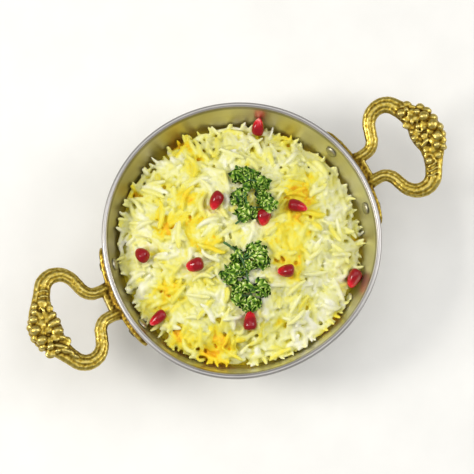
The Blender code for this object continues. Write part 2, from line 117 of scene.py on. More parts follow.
# ---------------------------------------------------------------- tools for shapes and finishes
def hex_colour(code):
    """An sRGB hex colour such as "D8B45A", as linear RGBA."""
    parts = [int(code[k:k + 2], 16) / 255 for k in (0, 2, 4)]
    linear = [p / 12.92 if p <= 0.04045 else ((p + 0.055) / 1.055) ** 2.4 for p in parts]
    return (*linear, 1.0)


def in_circle(x, y, circle):
    """Whether a place is inside a circle, given as x, y and radius."""
    return math.hypot(x - circle[0], y - circle[1]) < circle[2]


def turned(x, y, heading):
    """The same place on axes turned by heading: along it, and aside of it."""
    along = x * math.cos(heading) + y * math.sin(heading)
    return along, y * math.cos(heading) - x * math.sin(heading)


def add_node(tree, kind, settings=None, inputs=None):
    """Adds one node. Inputs are keyed by name or number: a socket is linked, the rest are set."""
    made = tree.nodes.new(kind)
    for name, value in (settings or {}).items():
        setattr(made, name, value)
    for key, value in (inputs or {}).items():
        if isinstance(value, bpy.types.NodeSocket):
            tree.links.new(value, made.inputs[key])
        else:
            made.inputs[key].default_value = value
    return made


def maths(tree, operation, *values):
    return add_node(tree, "ShaderNodeMath", {"operation": operation},
                    dict(enumerate(values))).outputs[0]


def carried(tree, name, kind="FLOAT"):
    """A point attribute, read in a geometry tree."""
    return add_node(tree, "GeometryNodeInputNamedAttribute", {"data_type": kind},
                    {"Name": name}).outputs[0]


def painted(tree, name):
    """A point attribute, read in a material."""
    return add_node(tree, "ShaderNodeAttribute", {"attribute_name": name}).outputs["Fac"]


def noise(tree, place, size, detail, **more):
    """Cloudy noise whose patches are about this wide."""
    return add_node(tree, "ShaderNodeTexNoise", None,
                    {"Vector": place, "Scale": 1 / size, "Detail": detail, **more}).outputs["Fac"]


def mapped(tree, value, low, high, start=0.3, end=0.7):
    """Maps start..end onto low..high: noise keeps mostly within 0.3 to 0.7."""
    return add_node(tree, "ShaderNodeMapRange", None,
                    {"Value": value, "From Min": start, "From Max": end, "To Min": low,
                     "To Max": high}).outputs[0]


def start_material(name, constants):
    """A Principled material with the given constants on the shader's own sockets."""
    material = bpy.data.materials.new(name)
    material.use_nodes = True
    tree = material.node_tree
    for socket, value in constants.items():
        tree.nodes["Principled BSDF"].inputs[socket].default_value = value
    return material, tree, add_node(tree, "ShaderNodeTexCoord").outputs["Object"]


def ramped(tree, value, stops):
    """A colour ramp over the value: stops are (place, hex colour) each."""
    made = add_node(tree, "ShaderNodeValToRGB", None, {"Fac": value})
    elements = made.color_ramp.elements
    while len(elements) < len(stops):
        elements.new(0.5)
    for element, (place, code) in zip(elements, stops):
        element.position = place
        element.color = hex_colour(code)
    return made.outputs[0]


def finish_material(material, colour, roughness=None, bump=None):
    """Links the shader's colour and roughness, and a bump: (pattern, strength, depth)."""
    tree = material.node_tree
    links = {"Base Color": colour}
    if roughness:
        links["Roughness"] = roughness
    if bump:
        pattern, strength, depth = bump
        links["Normal"] = add_node(tree, "ShaderNodeBump", None,
                                   {"Strength": strength, "Distance": depth,
                                    "Height": pattern}).outputs[0]
    for name, socket in links.items():
        tree.links.new(socket, tree.nodes["Principled BSDF"].inputs[name])
    return material


def object_from_mesh(name, mesh):
    thing = bpy.data.objects.new(name, mesh)
    bpy.context.scene.collection.objects.link(thing)
    return thing


def object_from_points(name, points, faces=(), edges=()):
    mesh = bpy.data.meshes.new(name)
    mesh.from_pydata([tuple(point) for point in points], edges, faces)
    return object_from_mesh(name, mesh)


def store(mesh, name, kind, values):
    """A point attribute: kind is FLOAT, INT or FLOAT_VECTOR."""
    attribute = mesh.attributes.new(name, kind, "POINT")
    field = "vector" if kind == "FLOAT_VECTOR" else "value"
    flat = np.asarray(values, np.int32 if kind == "INT" else np.float32).ravel()
    attribute.data.foreach_set(field, flat)


def read(data, name, width=1, kind=np.float64):
    """One field of every item, as an array with a row for each."""
    flat = np.zeros(len(data) * width, kind)
    data.foreach_get(name, flat)
    return flat.reshape(-1, width) if width > 1 else flat


def vertex_array(mesh):
    return read(mesh.vertices, "co", 3)


def attribute_array(mesh, name):
    return read(mesh.attributes[name].data, "value", 1, np.float32)


def edge_array(mesh):
    return read(mesh.edges, "vertices", 2, np.int32)


def move_vertices(mesh, points):
    mesh.vertices.foreach_set("co", points.ravel())
    mesh.update()


def set_finish(mesh, finish):
    mesh.materials.clear()
    mesh.materials.append(finish)


def made_plain(thing):
    """Turns an object's modifiers into a plain mesh, with its faces pointing outwards."""
    depsgraph = bpy.context.evaluated_depsgraph_get()
    mesh = bpy.data.meshes.new_from_object(thing.evaluated_get(depsgraph))
    thing.modifiers.clear()
    shape = bmesh.new()
    shape.from_mesh(mesh)
    if shape.calc_volume(signed=True) < 0:
        bmesh.ops.reverse_faces(shape, faces=shape.faces)
    shape.to_mesh(mesh)
    shape.free()
    thing.data = mesh
    thing.matrix_world = Matrix.Identity(4)
    mesh.shade_smooth()
    return thing


def finish_piece(thing, slot, *nodes):
    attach(thing, "root")
    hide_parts(*nodes)


# ---------------------------------------------------------------- geometry-node trees
def open_tree(name, inputs):
    """An empty geometry tree with named inputs: (name, socket kind, value) each."""
    tree = bpy.data.node_groups.new(name, "GeometryNodeTree")
    tree.interface.new_socket("Geometry", in_out="INPUT", socket_type="NodeSocketGeometry")
    tree.interface.new_socket("Geometry", in_out="OUTPUT", socket_type="NodeSocketGeometry")
    for label, kind, value in inputs:
        socket = tree.interface.new_socket(label, in_out="INPUT", socket_type=kind)
        if value is not None:
            socket.default_value = value
    return tree, add_node(tree, "NodeGroupInput").outputs


def close_tree(tree, geometry, finish):
    """Ends a tree: real geometry, in the given finish."""
    real = add_node(tree, "GeometryNodeRealizeInstances", None, {0: geometry})
    done = add_node(tree, "GeometryNodeSetMaterial", None,
                    {"Geometry": real.outputs[0], "Material": finish})
    add_node(tree, "NodeGroupOutput", None, {0: done.outputs[0]})
    return tree


def use_tree(thing, tree, values):
    """Puts the tree on the object, and sets its inputs by their sockets' identifiers."""
    modifier = thing.modifiers.new(tree.name, "NODES")
    modifier.node_group = tree
    for item in tree.interface.items_tree:
        if item.in_out == "INPUT" and item.name in values:
            modifier[item.identifier] = values[item.name]


def turning_tree():
    """Turns a profile, whose points are (radius, 0, height), into a closed spun body.

    Each wave bends the true circle outwards by its depth times the square of the height's share.
    """
    waves = [(f"{label} wave {field}", kind, value)
             for label, count in (("First", 3), ("Second", 4))
             for field, kind, value in (("count", "NodeSocketInt", count),
                                        ("depth", "NodeSocketFloat", 0.0),
                                        ("heading", "NodeSocketFloat", 0.0))]
    tree, given = open_tree("Spun body", [("Segments", "NodeSocketInt", 48),
                                          ("Full height", "NodeSocketFloat", 1.0), *waves,
                                          ("Finish", "NodeSocketMaterial", None)])

    def do(operation, *values):
        return maths(tree, operation, *values)

    size = add_node(tree, "GeometryNodeAttributeDomainSize", None, {"Geometry": given["Geometry"]})
    columns = do("ADD", given["Segments"], 1.0)
    grid = add_node(tree, "GeometryNodeMeshGrid", None,
                    {"Vertices X": size.outputs["Point Count"], "Vertices Y": columns})
    index = add_node(tree, "GeometryNodeInputIndex").outputs[0]
    row = do("FLOOR", do("DIVIDE", do("ADD", index, 0.5), columns))
    column = do("SUBTRACT", index, do("MULTIPLY", row, columns))
    sampled = add_node(tree, "GeometryNodeSampleIndex", {"data_type": "FLOAT_VECTOR"},
                       {"Geometry": given["Geometry"],
                        "Value": add_node(tree, "GeometryNodeInputPosition").outputs[0],
                        "Index": row}).outputs[0]
    profile = add_node(tree, "ShaderNodeSeparateXYZ", None, {0: sampled}).outputs
    angle = do("DIVIDE", do("MULTIPLY", column, math.tau), given["Segments"])
    share = do("MAXIMUM", do("DIVIDE", profile["Z"], given["Full height"]), 0.0)
    bend = None
    for label in ("First", "Second"):
        turned = do("SUBTRACT", angle, given[f"{label} wave heading"])
        wave = do("COSINE", do("MULTIPLY", turned, given[f"{label} wave count"]))
        wave = do("MULTIPLY", wave, given[f"{label} wave depth"])
        bend = wave if bend is None else do("ADD", bend, wave)
    bend = do("MULTIPLY", bend, do("MULTIPLY", share, share))
    on_axis = do("LESS_THAN", profile["X"], 1e-6)
    reach = do("MULTIPLY", do("ADD", profile["X"], bend), do("SUBTRACT", 1.0, on_axis))
    place = add_node(tree, "ShaderNodeCombineXYZ", None,
                     {0: do("MULTIPLY", reach, do("COSINE", angle)),
                      1: do("MULTIPLY", reach, do("SINE", angle)), 2: profile["Z"]})
    moved = add_node(tree, "GeometryNodeSetPosition", None,
                     {"Geometry": grid.outputs["Mesh"], "Position": place.outputs[0]})
    closed = add_node(tree, "GeometryNodeMergeByDistance", None,
                      {"Geometry": moved.outputs[0], "Distance": 1e-6})
    return close_tree(tree, closed.outputs[0], given["Finish"])


def scattering_tree():
    """Puts one of the Shapes on each point, by the points' shape, turn and size."""
    tree, given = open_tree("Scattered shapes",
                            [("Shapes", "NodeSocketCollection", None),
                             ("Size spread", "NodeSocketFloat", 0.0), ("Seed", "NodeSocketInt", 1),
                             ("Finish", "NodeSocketMaterial", None)])
    shapes = add_node(tree, "GeometryNodeCollectionInfo", None,
                      {"Collection": given["Shapes"], "Separate Children": True,
                       "Reset Children": True}).outputs[0]
    swing = add_node(tree, "FunctionNodeEulerToRotation", None,
                     {0: carried(tree, "turn", "FLOAT_VECTOR")}).outputs[0]
    spread = add_node(tree, "FunctionNodeRandomValue", {"data_type": "FLOAT"},
                      {2: maths(tree, "SUBTRACT", 1.0, given["Size spread"]),
                       3: maths(tree, "ADD", 1.0, given["Size spread"]),
                       "Seed": given["Seed"]}).outputs[1]
    size = add_node(tree, "ShaderNodeVectorMath", {"operation": "SCALE"},
                    {0: carried(tree, "size", "FLOAT_VECTOR"), "Scale": spread}).outputs[0]
    laid = add_node(tree, "GeometryNodeInstanceOnPoints", None,
                    {"Points": given["Geometry"], "Instance": shapes, "Pick Instance": True,
                     "Instance Index": carried(tree, "shape", "INT"), "Rotation": swing,
                     "Scale": size})
    return close_tree(tree, laid.outputs[0], given["Finish"])


def stalk_tree():
    """Draws a round stalk along each edge chain, as thick as the points' thickness says."""
    tree, given = open_tree("Round stalks", [("Sides", "NodeSocketInt", 8),
                                             ("Thickness", "NodeSocketFloat", 1.0),
                                             ("Finish", "NodeSocketMaterial", None)])
    line = add_node(tree, "GeometryNodeMeshToCurve", None, {"Mesh": given["Geometry"]})
    scaled = maths(tree, "MULTIPLY", carried(tree, "thickness"), given["Thickness"])
    sized = add_node(tree, "GeometryNodeSetCurveRadius", None,
                     {"Curve": line.outputs[0], "Radius": scaled})
    ring = add_node(tree, "GeometryNodeCurvePrimitiveCircle", None,
                    {"Resolution": given["Sides"], "Radius": 0.5})
    skin = add_node(tree, "GeometryNodeCurveToMesh", None,
                    {"Curve": sized.outputs[0], "Profile Curve": ring.outputs[0],
                     "Scale": scaled, "Fill Caps": True})
    return close_tree(tree, skin.outputs[0], given["Finish"])


def shape_collection(name, things):
    """A collection of shapes to scatter, in name order, which isn't in the scene itself."""
    group = bpy.data.collections.new(name)
    for thing in things:
        for holder in list(thing.users_collection):
            holder.objects.unlink(thing)
        group.objects.link(thing)
    return group


def scatter(name, tree, shapes, finish, points, turns, sizes, kinds, marks=None, spread=0.0):
    """Points that carry their turn, size, shape and any marks, made into one plain piece."""
    thing = object_from_points(name, points)
    store(thing.data, "turn", "FLOAT_VECTOR", turns)
    store(thing.data, "size", "FLOAT_VECTOR", sizes)
    store(thing.data, "shape", "INT", kinds)
    for label, values in (marks or {}).items():
        store(thing.data, label, "FLOAT", values)
    use_tree(thing, tree, {"Shapes": shapes, "Size spread": spread, "Seed": 7, "Finish": finish})
    return made_plain(thing)


# ---------------------------------------------------------------- the pan's form
def lobe_offset(angle, z):
    """How far the worked sheet leaves a true circle: most at the rim, nothing at the base."""
    share = np.maximum(z, 0.0) / BOWL_HEIGHT
    return share * share * sum(depth * np.cos(waves * (angle - heading))
                               for waves, depth, heading in RIM_LOBES)


def wall_radius(z):
    drop = BOWL_HEIGHT - z
    return RIM_RADIUS - RIM_OVERHANG - drop * (math.tan(WALL_FLARE) + WALL_BEND * drop / 2)


def wall_lean(z):
    return np.arctan(math.tan(WALL_FLARE) + WALL_BEND * (BOWL_HEIGHT - z))


def wall_point(z, outwards):
    """A point on the wall, moved along the wall's outward normal: radius and height."""
    lean = float(wall_lean(z))
    return (wall_radius(z) + outwards * math.cos(lean), z - outwards * math.sin(lean))


def wall_reach(angle, z, outwards):
    """Radius, at height z and in this direction, of the wall moved outwards along its normal."""
    return wall_radius(z) + lobe_offset(angle, z) + outwards / np.cos(wall_lean(z))


def corner_top():
    z = BASE_CORNER
    for _ in range(20):
        z = BASE_CORNER * (1 - math.sin(wall_lean(z)))
    return z


def base_profile(outwards, rings, steps):
    """From the axis along the base and round the corner to the wall, as (radius, height)."""
    top = corner_top()
    lean = float(wall_lean(top))
    centre = wall_radius(top) - BASE_CORNER * math.cos(lean)
    radius = BASE_CORNER + outwards
    points = [(centre * k / rings, -outwards) for k in range(rings)]
    for k in range(steps + 1):
        turn = math.radians(-90) + (math.radians(90) - lean) * k / steps
        points.append((centre + radius * math.cos(turn), BASE_CORNER + radius * math.sin(turn)))
    return points


def wall_profile(outwards, steps):
    low = corner_top()
    top = BOWL_HEIGHT - RIM_DEPTH
    return [wall_point(low + (top - low) * (k + 1) / steps, outwards) for k in range(steps)]


def rim_profile():
    """Over the roll, into the crease, and over the sheet's own edge, which stands just inside."""
    half = RIM_DEPTH / 2
    middle = RIM_RADIUS - half
    height = BOWL_HEIGHT - half
    inner = RIM_RADIUS - RIM_WIDTH
    points = []
    for k in range(ROLL_STEPS + 1):
        turn = math.radians(-100 + 200 * k / ROLL_STEPS)
        points.append((middle + half * math.cos(turn), height + half * math.sin(turn)))
    for outwards, below in SHEET_EDGE:
        points.append((inner + outwards * MM, BOWL_HEIGHT - below * MM))
    return points


def make_pan(tree, finish):
    outside, inside = (base_profile(outwards, BASE_RINGS, CORNER_STEPS)
                       + wall_profile(outwards, WALL_STEPS) for outwards in (0.0, -SHEET))
    profile = outside + rim_profile() + inside[::-1]
    pan = object_from_points("pan", [(radius, 0.0, z) for radius, z in profile])
    values = {"Segments": PAN_SEGMENTS, "Full height": BOWL_HEIGHT, "Finish": finish}
    for label, (count, depth, heading) in zip(("First", "Second"), RIM_LOBES):
        values |= {f"{label} wave count": count, f"{label} wave depth": depth,
                   f"{label} wave heading": heading}
    use_tree(pan, tree, values)
    pan = made_plain(pan)
    x, y, z = vertex_array(pan.data).T
    within = np.hypot(x, y) < wall_reach(np.arctan2(y, x), z, -0.6 * SHEET)
    store(pan.data, "inner", "FLOAT", np.where(within & (z > 0.6 * SHEET), 1.0, 0.0))
    finish_piece(pan, "steel", "bowl")


def rivet_matrix(angle):
    """Lays +Z along the wall's outward normal at a rivet."""
    z = BOWL_HEIGHT - STRAP_TOP - STRAP_HEIGHT / 2
    radius = float(wall_radius(z) + lobe_offset(angle, z))
    lay = Matrix.Rotation(math.pi / 2 + float(wall_lean(z)), 4, "Y")
    place = Matrix.Translation((radius * math.cos(angle), radius * math.sin(angle), z))
    return place @ Matrix.Rotation(angle, 4, "Z") @ lay


def make_rivets(turning, scattering, finish):
    """Four solid rivets: a low domed head inside, a shank, and a smaller set head outside."""
    inner = -SHEET - GAP
    outer = GAP + STRAP_THICKNESS + 2 * GAP
    profile = [(radius * MM, inner - lift * MM) for radius, lift in RIVET_HEAD]
    profile += [(radius * MM, outer + lift * MM) for radius, lift in RIVET_TAIL]
    model = object_from_points("rivet_form", [(radius, 0.0, z) for radius, z in profile])
    use_tree(model, turning, {"Segments": 32, "Finish": finish})
    shapes = shape_collection("rivet_forms", [made_plain(model)])
    places = [rivet_matrix(angle + side * RIVET_ANGLE)
              for angle in HANDLE_ANGLES.values() for side in (-1, 1)]
    rivets = scatter("rivets", scattering, shapes, finish,
                     [place.translation for place in places],
                     [tuple(place.to_euler()) for place in places], [(1, 1, 1)] * 4, [0] * 4)
    finish_piece(rivets, "steel", "rivet_1", "rivet_2", "rivet_3", "rivet_4")


# ---------------------------------------------------------------- the cast handles
def loop_point(u, v, above):
    """A point of the loop's tilted plane, lifted off that plane by above."""
    root = wall_radius(BOWL_HEIGHT - LOOP_ROOT_DROP)
    lift = BOWL_HEIGHT - LOOP_ROOT_DROP + (u - root) * math.tan(LOOP_RISE)
    return Vector((u - above * math.sin(LOOP_RISE), v, lift + above * math.cos(LOOP_RISE)))


def smooth_path(stations, steps):
    """Catmull-Rom curve through the stations, whatever numbers each of them holds."""
    rows = np.array(stations, dtype=float)
    rows = np.vstack([2 * rows[0] - rows[1], rows, 2 * rows[-1] - rows[-2]])
    path = []
    for a, b, c, d in zip(rows, rows[1:], rows[2:], rows[3:]):
        for k in range(steps):
            t = k / steps
            path.append(0.5 * (2 * b + (c - a) * t + (2 * a - 5 * b + 4 * c - d) * t * t
                               + (3 * b - a - 3 * c + d) * t ** 3))
    path.append(rows[-2])
    return np.array(path)


def loop_path(steps):
    half = [tuple(number * MM for number in station) for station in LOOP_STATIONS]
    other = [(u, -v, width) for u, v, width in reversed(half)]
    return smooth_path(half + other, steps)


def half_thickness(width):
    share = min(max((width - ARM_WIDTH) / (CREST_WIDTH - ARM_WIDTH), 0.0), 1.0)
    return LOOP_HALF_THICKNESS + (CREST_HALF_THICKNESS - LOOP_HALF_THICKNESS) * share


def add_rings(shape, rings):
    """Skins closed rings of points into one tube with fanned ends."""
    loops = [[shape.verts.new(point) for point in ring] for ring in rings]
    count = len(loops[0])
    for lower, upper in zip(loops, loops[1:]):
        for k in range(count):
            after = (k + 1) % count
            shape.faces.new((lower[k], lower[after], upper[after], upper[k]))
    for ring, flip in ((loops[0], True), (loops[-1], False)):
        centre = shape.verts.new(sum((vert.co for vert in ring), Vector()) / count)
        for k in range(count):
            corners = (ring[k], ring[(k + 1) % count], centre)
            shape.faces.new(corners[::-1] if flip else corners)


def groove(side, form):
    place, width, depth = form
    return depth * math.exp(-((side - place) / width) ** 2)


def loop_shape():
    """The loop: arms with a middle rib between two flutes, and a dished crest."""
    shape = bmesh.new()
    path = loop_path(LOOP_STEPS)
    tangents = np.gradient(path[:, :2], axis=0)
    run = np.concatenate([[0.0], np.cumsum(np.hypot(*np.diff(path[:, :2], axis=0).T))])
    sides = 44
    rings = []
    for (u, v, width), (du, dv), along in zip(path, tangents, run):
        length = math.hypot(du, dv)
        across = (-dv / length, du / length)
        thick = half_thickness(width)
        crest = min(max((width - 9.0 * MM) / (3.0 * MM), 0.0), 1.0)
        root = min(min(along, run[-1] - along) / (7 * MM), 1.0)
        ring = []
        for k in range(sides):
            turn = math.tau * (k + 0.5) / sides
            side = math.cos(turn)
            rise = math.sin(turn)
            flutes = groove(abs(side), FLUTE) + groove(abs(side), EDGE_GROOVE)
            cut = flutes * (1 - crest) * root + groove(side, DISH) * crest
            ring.append(loop_point(u + across[0] * side * width / 2,
                                   v + across[1] * side * width / 2,
                                   (thick * abs(rise) ** 0.86 - cut * abs(rise) ** 0.5)
                                   * math.copysign(1.0, rise)))
        rings.append(ring)
    add_rings(shape, rings)
    return shape


def strap_shape(angle):
    """The strap, bent to the wall behind it, with round ends and a domed outer face."""
    shape = bmesh.new()
    half_height = STRAP_HEIGHT / 2
    middle = BOWL_HEIGHT - STRAP_TOP - half_height
    half_length = STRAP_HALF_ANGLE * wall_radius(middle)
    stations, rows = 64, 13
    rings = []
    for i in range(stations + 1):
        turn = STRAP_HALF_ANGLE * math.sin(math.pi / 2 * (2 * i / stations - 1))
        from_end = half_length * (1 - abs(turn) / STRAP_HALF_ANGLE)
        short = 1 - min(from_end / half_height, 1.0)
        tall = half_height * max(math.sqrt(1 - short * short), 0.12)
        ring = []
        for side in (0, 1):
            for j in range(rows):
                share = (2 * j / (rows - 1) - 1) * (-1 if side else 1)
                z = middle + tall * share
                dome = STRAP_THICKNESS * (1 - STRAP_DOME * share ** 4) if side else 0.0
                radius, z = wall_point(z, GAP + 0.05 * MM + dome)
                radius += float(lobe_offset(turn + angle, z))
                ring.append((radius * math.cos(turn), radius * math.sin(turn), z))
        rings.append(ring)
    add_rings(shape, rings)
    return shape


def crest_face(path, u, v):
    """Width of the loop nearest this place, how far aside of its middle that is, from 0 to 1
    at the edge, and the height of its face there."""
    nearest = path[np.argmin(np.hypot(path[:, 0] - u, path[:, 1] - v))]
    aside = math.hypot(nearest[0] - u, nearest[1] - v) / (nearest[2] / 2)
    face = half_thickness(nearest[2]) * math.sqrt(max(1 - min(aside, 1.0) ** 2.4, 0.0))
    return nearest[2], aside, face


def boss(path, u, v, size, heading=0, sharp=2):
    """A bead, bar or leaf of the crest's relief, on both faces: sizes in mm, heading in degrees.

    sharp is the power of its outline: 2 is round, and more is squarer.
    """
    _, _, face = crest_face(path, u * MM, v * MM)
    long, wide, tall = (number * grow * MM for number, grow in zip(size, (1.36, 1.36, 1.6)))
    u += 0.8 * min(max((u - 107.0) / 5.0, 0.0), 1.0)
    turn = math.radians(heading)
    shapes = []
    for side in (-1, 1):
        shape = bmesh.new()
        bmesh.ops.create_icosphere(shape, subdivisions=3, radius=1.0)
        for vert in shape.verts:
            x, y, z = vert.co
            reach = (abs(x) ** sharp + abs(y) ** sharp + abs(z) ** 2) ** (1 / sharp)
            x, y, z = (number / max(reach, 1e-6) for number in (x, y, z))
            along, over = x * long, y * wide
            vert.co = loop_point(u * MM + along * math.cos(turn) - over * math.sin(turn),
                                 v * MM + along * math.sin(turn) + over * math.cos(turn),
                                 side * (face - 0.12 * tall + z * tall))
        shapes.append(shape)
    return shapes


def scroll(loop, points, thick):
    """A raised cord of metal through (u, v) points in mm, on both faces of the crest."""
    shapes = []
    path = smooth_path([(u * MM, v * MM) for u, v in points], 6)
    for side in (-1, 1):
        rings = []
        for (u, v), (du, dv) in zip(path, np.gradient(path, axis=0)):
            _, _, face = crest_face(loop, u, v)
            length = math.hypot(du, dv)
            ring = []
            for k in range(10):
                turn = math.tau * k / 10
                over = thick * MM * math.cos(turn)
                ring.append(loop_point(u - dv / length * over, v + du / length * over,
                                       side * (face + thick * MM * math.sin(turn))))
            rings.append(ring)
        shape = bmesh.new()
        add_rings(shape, rings)
        shapes.append(shape)
    return shapes


CASTING_SKIN = 0.30 * MM
# The crest's relief: beads along its outer edge, a recessed valley, an inner row, a collar at one
# end and a ringed bead at the other. Each boss: u, v, (half length, half width, height), and its
# heading and squareness where it isn't round. Each scroll: its points, then its half thickness.
CREST_BOSSES = {
    "right": ((101.9, 14.6, (1.9, 1.7, 1.7)), (104.9, 14.9, (1.1, 1.0, 1.0)),
              (106.4, 17.2, (1.7, 1.3, 1.0), -40), (108.6, 11.1, (1.3, 1.2, 1.2)),
              (110.6, 12.6, (1.7, 1.5, 1.2), -40), (110.2, 7.3, (2.1, 2.0, 1.8)),
              (112.4, 9.3, (1.9, 1.4, 1.2), -50), (111.6, 1.5, (2.3, 2.3, 1.9)),
              (113.3, 4.4, (1.6, 1.6, 1.3)), (113.6, -0.8, (1.5, 1.7, 1.3)),
              (110.9, -4.7, (1.9, 1.9, 1.4), 10, 4), (113.2, -4.6, (1.3, 1.6, 1.1)),
              (108.8, -8.4, (1.6, 1.5, 1.4)), (110.3, -10.2, (1.3, 1.6, 1.0), 30),
              (101.7, 3.6, (1.1, 1.0, 0.9)), (101.4, 0.4, (1.5, 1.4, 1.2)),
              (101.6, -3.1, (1.3, 1.1, 1.0)), (104.6, -4.3, (2.2, 1.0, 0.8), 20),
              (105.6, 4.6, (1.3, 0.9, 0.8), 60), (104.4, 8.4, (1.6, 0.8, 0.8), 70),
              (101.8, -13.2, (1.5, 1.5, 1.4))),
    "left": ((107.9, -12.6, (1.3, 1.2, 0.9)), (109.1, -10.0, (1.3, 1.3, 1.1)),
             (110.8, -6.6, (1.8, 1.7, 1.5)), (111.9, -1.3, (2.2, 2.1, 1.9)),
             (111.2, 4.4, (2.2, 2.0, 1.8)), (109.0, 9.0, (1.6, 1.5, 1.3)),
             (113.2, -4.2, (1.2, 1.4, 1.0)), (113.6, 1.8, (1.3, 1.5, 1.1)),
             (112.0, 7.6, (1.3, 1.3, 1.0)), (102.4, -4.8, (2.2, 1.5, 1.0), 15),
             (102.9, -1.0, (2.8, 1.5, 1.5), 8, 3), (102.9, 3.2, (2.4, 1.8, 1.2), -8),
             (102.5, 7.0, (1.9, 1.2, 0.8), -30), (104.6, 11.2, (3.0, 1.0, 1.2), -35),
             (102.8, 14.6, (3.1, 1.0, 1.2), -42), (101.0, 17.6, (2.6, 0.8, 0.8), -48),
             (106.9, 12.4, (1.2, 1.0, 0.9)), (104.9, -9.0, (1.2, 0.7, 0.7), 80)),
}
CREST_SCROLLS = {
    "right": ((((103.2, 17.6), (105.2, 16.4), (105.6, 13.6), (104.0, 11.6), (101.6, 11.4),
                (100.2, 12.6)), 0.55),
              (((100.0, -11.6), (101.4, -10.2), (103.6, -10.6), (104.6, -12.4), (104.4, -14.8)),
               0.5),
              (((106.8, 6.2), (105.0, 5.0), (104.6, 2.6), (106.2, 1.4), (107.8, 2.6)), 0.5),
              (((99.6, -15.6), (102.0, -15.9), (104.8, -15.6)), 0.42),
              (((98.6, -17.6), (101.0, -18.1), (103.8, -18.0)), 0.40),
              (((97.4, -19.4), (99.6, -20.2), (102.4, -20.4)), 0.36)),
    "left": ((((100.8, -9.6), (103.0, -10.6), (106.0, -10.2)), 0.45),
             (((100.2, -12.0), (102.4, -13.0), (105.4, -12.9)), 0.45),
             (((99.6, -14.4), (101.6, -15.6), (104.6, -15.8)), 0.42),
             (((98.6, -16.8), (100.4, -18.2), (103.2, -18.6)), 0.38)),
}


def join_shapes(name, shapes):
    """Several closed shapes as one object, ready to be grown together."""
    whole = bmesh.new()
    for shape in shapes:
        bmesh.ops.recalc_face_normals(shape, faces=shape.faces)
        part = bpy.data.meshes.new("part")
        shape.to_mesh(part)
        shape.free()
        whole.from_mesh(part)
        bpy.data.meshes.remove(part)
    mesh = bpy.data.meshes.new(name)
    whole.to_mesh(mesh)
    whole.free()
    return object_from_mesh(name, mesh)


def grown_together(thing, grain):
    """Overlapping closed shapes, remeshed as one skin whose faces are about this wide."""
    skin = thing.modifiers.new("skin", "REMESH")
    skin.mode = "VOXEL"
    skin.voxel_size = grain
    return made_plain(thing)


def neighbour_mean(points, edges, rounds):
    """Each vertex drawn to its neighbours' mean, this many times."""
    count = np.bincount(edges.ravel(), minlength=len(points)).astype(float)[:, None]
    for _ in range(rounds):
        total = np.zeros_like(points)
        for axis in range(3):
            total[:, axis] += np.bincount(edges[:, 0], points[edges[:, 1], axis], len(points))
            total[:, axis] += np.bincount(edges[:, 1], points[edges[:, 0], axis], len(points))
        points = 0.5 * points + 0.5 * total / np.maximum(count, 1)
    return points


def mark_hollows(mesh, depth, rounds):
    """Stores in "hollow" how far each vertex lies below its rounded-off surroundings."""
    points = vertex_array(mesh)
    normals = read(mesh.vertices, "normal", 3)
    gap = neighbour_mean(points, edge_array(mesh), rounds) - points
    below = np.einsum("ij,ij->i", gap, normals)
    store(mesh, "hollow", "FLOAT", np.clip(0.5 + 0.5 * below / depth, 0.0, 1.0))


def crest_lumps(side, path):
    """Small rough lumps of metal that fill the crest between its beads."""
    chance = np.random.default_rng(17 if side == "right" else 18)
    taken = [(u, v, 0.75 * max(size[:2])) for u, v, size, *_ in CREST_BOSSES[side]]
    lumps = []
    for _ in range(900):
        u, v = chance.uniform(99, 114), chance.uniform(-13, 17)
        size = chance.uniform(1.3, 2.2)
        width, aside, _ = crest_face(path, u * MM, v * MM)
        if width < 10 * MM or aside > 0.80:
            continue
        if all(math.hypot(u - a, v - b) > 0.84 * (size + c) for a, b, c in taken):
            taken.append((u, v, size))
            lumps.append((u, v, (size, size * 0.85, 0.26 * size), math.degrees(u * 7)))
    return tuple(lumps)


def roughen(points, normals, depth, size, seed):
    """Uneven casting: the skin pushed in and out by waves in many directions."""
    chance = np.random.default_rng(seed)
    total = np.zeros(len(points))
    for _ in range(28):
        heading = chance.normal(0.0, 1.0, 3)
        heading *= math.tau / (size * chance.uniform(0.7, 1.8) * np.linalg.norm(heading))
        total += np.sin(points @ heading + chance.uniform(0.0, math.tau))
    return points + normals * (depth * total / math.sqrt(14))[:, None]


def make_handle(side, angle, finish):
    """Strap, loop, web and relief grown into one casting, as sand casting leaves it."""
    web = bmesh.new()
    bmesh.ops.create_cube(web, size=1.0)
    turn = Matrix.Rotation(-LOOP_RISE, 4, "Y")
    bmesh.ops.transform(web, verts=web.verts,
                        matrix=Matrix.Translation(loop_point(WEB_MIDDLE, 0.0, 0.0)) @ turn
                        @ Matrix.Diagonal((*WEB_SIZE, 1.0)))
    shapes = [strap_shape(angle), loop_shape(), web]
    path = loop_path(LOOP_STEPS)
    for row in CREST_BOSSES[side] + crest_lumps(side, path):
        shapes += boss(path, *row)
    for points, thick in CREST_SCROLLS[side]:
        shapes += scroll(path, points, thick)
    handle = grown_together(join_shapes(f"cast_handle_{side}", shapes), CASTING_SKIN)
    mesh = handle.data
    points = neighbour_mean(vertex_array(mesh), edge_array(mesh), 4)
    points = roughen(points, read(mesh.vertices, "normal", 3), 0.035 * MM, 2.0 * MM, 5)
    move_vertices(mesh, points)
    mark_hollows(mesh, 0.30 * MM, 24)
    # Painted shade: the strap, just under the rim, is painted darker than the loop, added to the
    # tarnish of the hollows.
    tarnish_and_strap_shade = attribute_array(mesh, "hollow")
    reach = np.hypot(points[:, 0], points[:, 1])
    tarnish_and_strap_shade += 0.20 * np.clip((RIM_RADIUS + 4 * MM - reach) / (2 * MM), 0.0, 1.0).astype(np.float32)
    mesh.attributes["hollow"].data.foreach_set("value", tarnish_and_strap_shade)
    mesh.transform(Matrix.Rotation(angle, 4, "Z"))
    set_finish(mesh, finish)
    finish_piece(handle, "brass", f"handle_{side}")


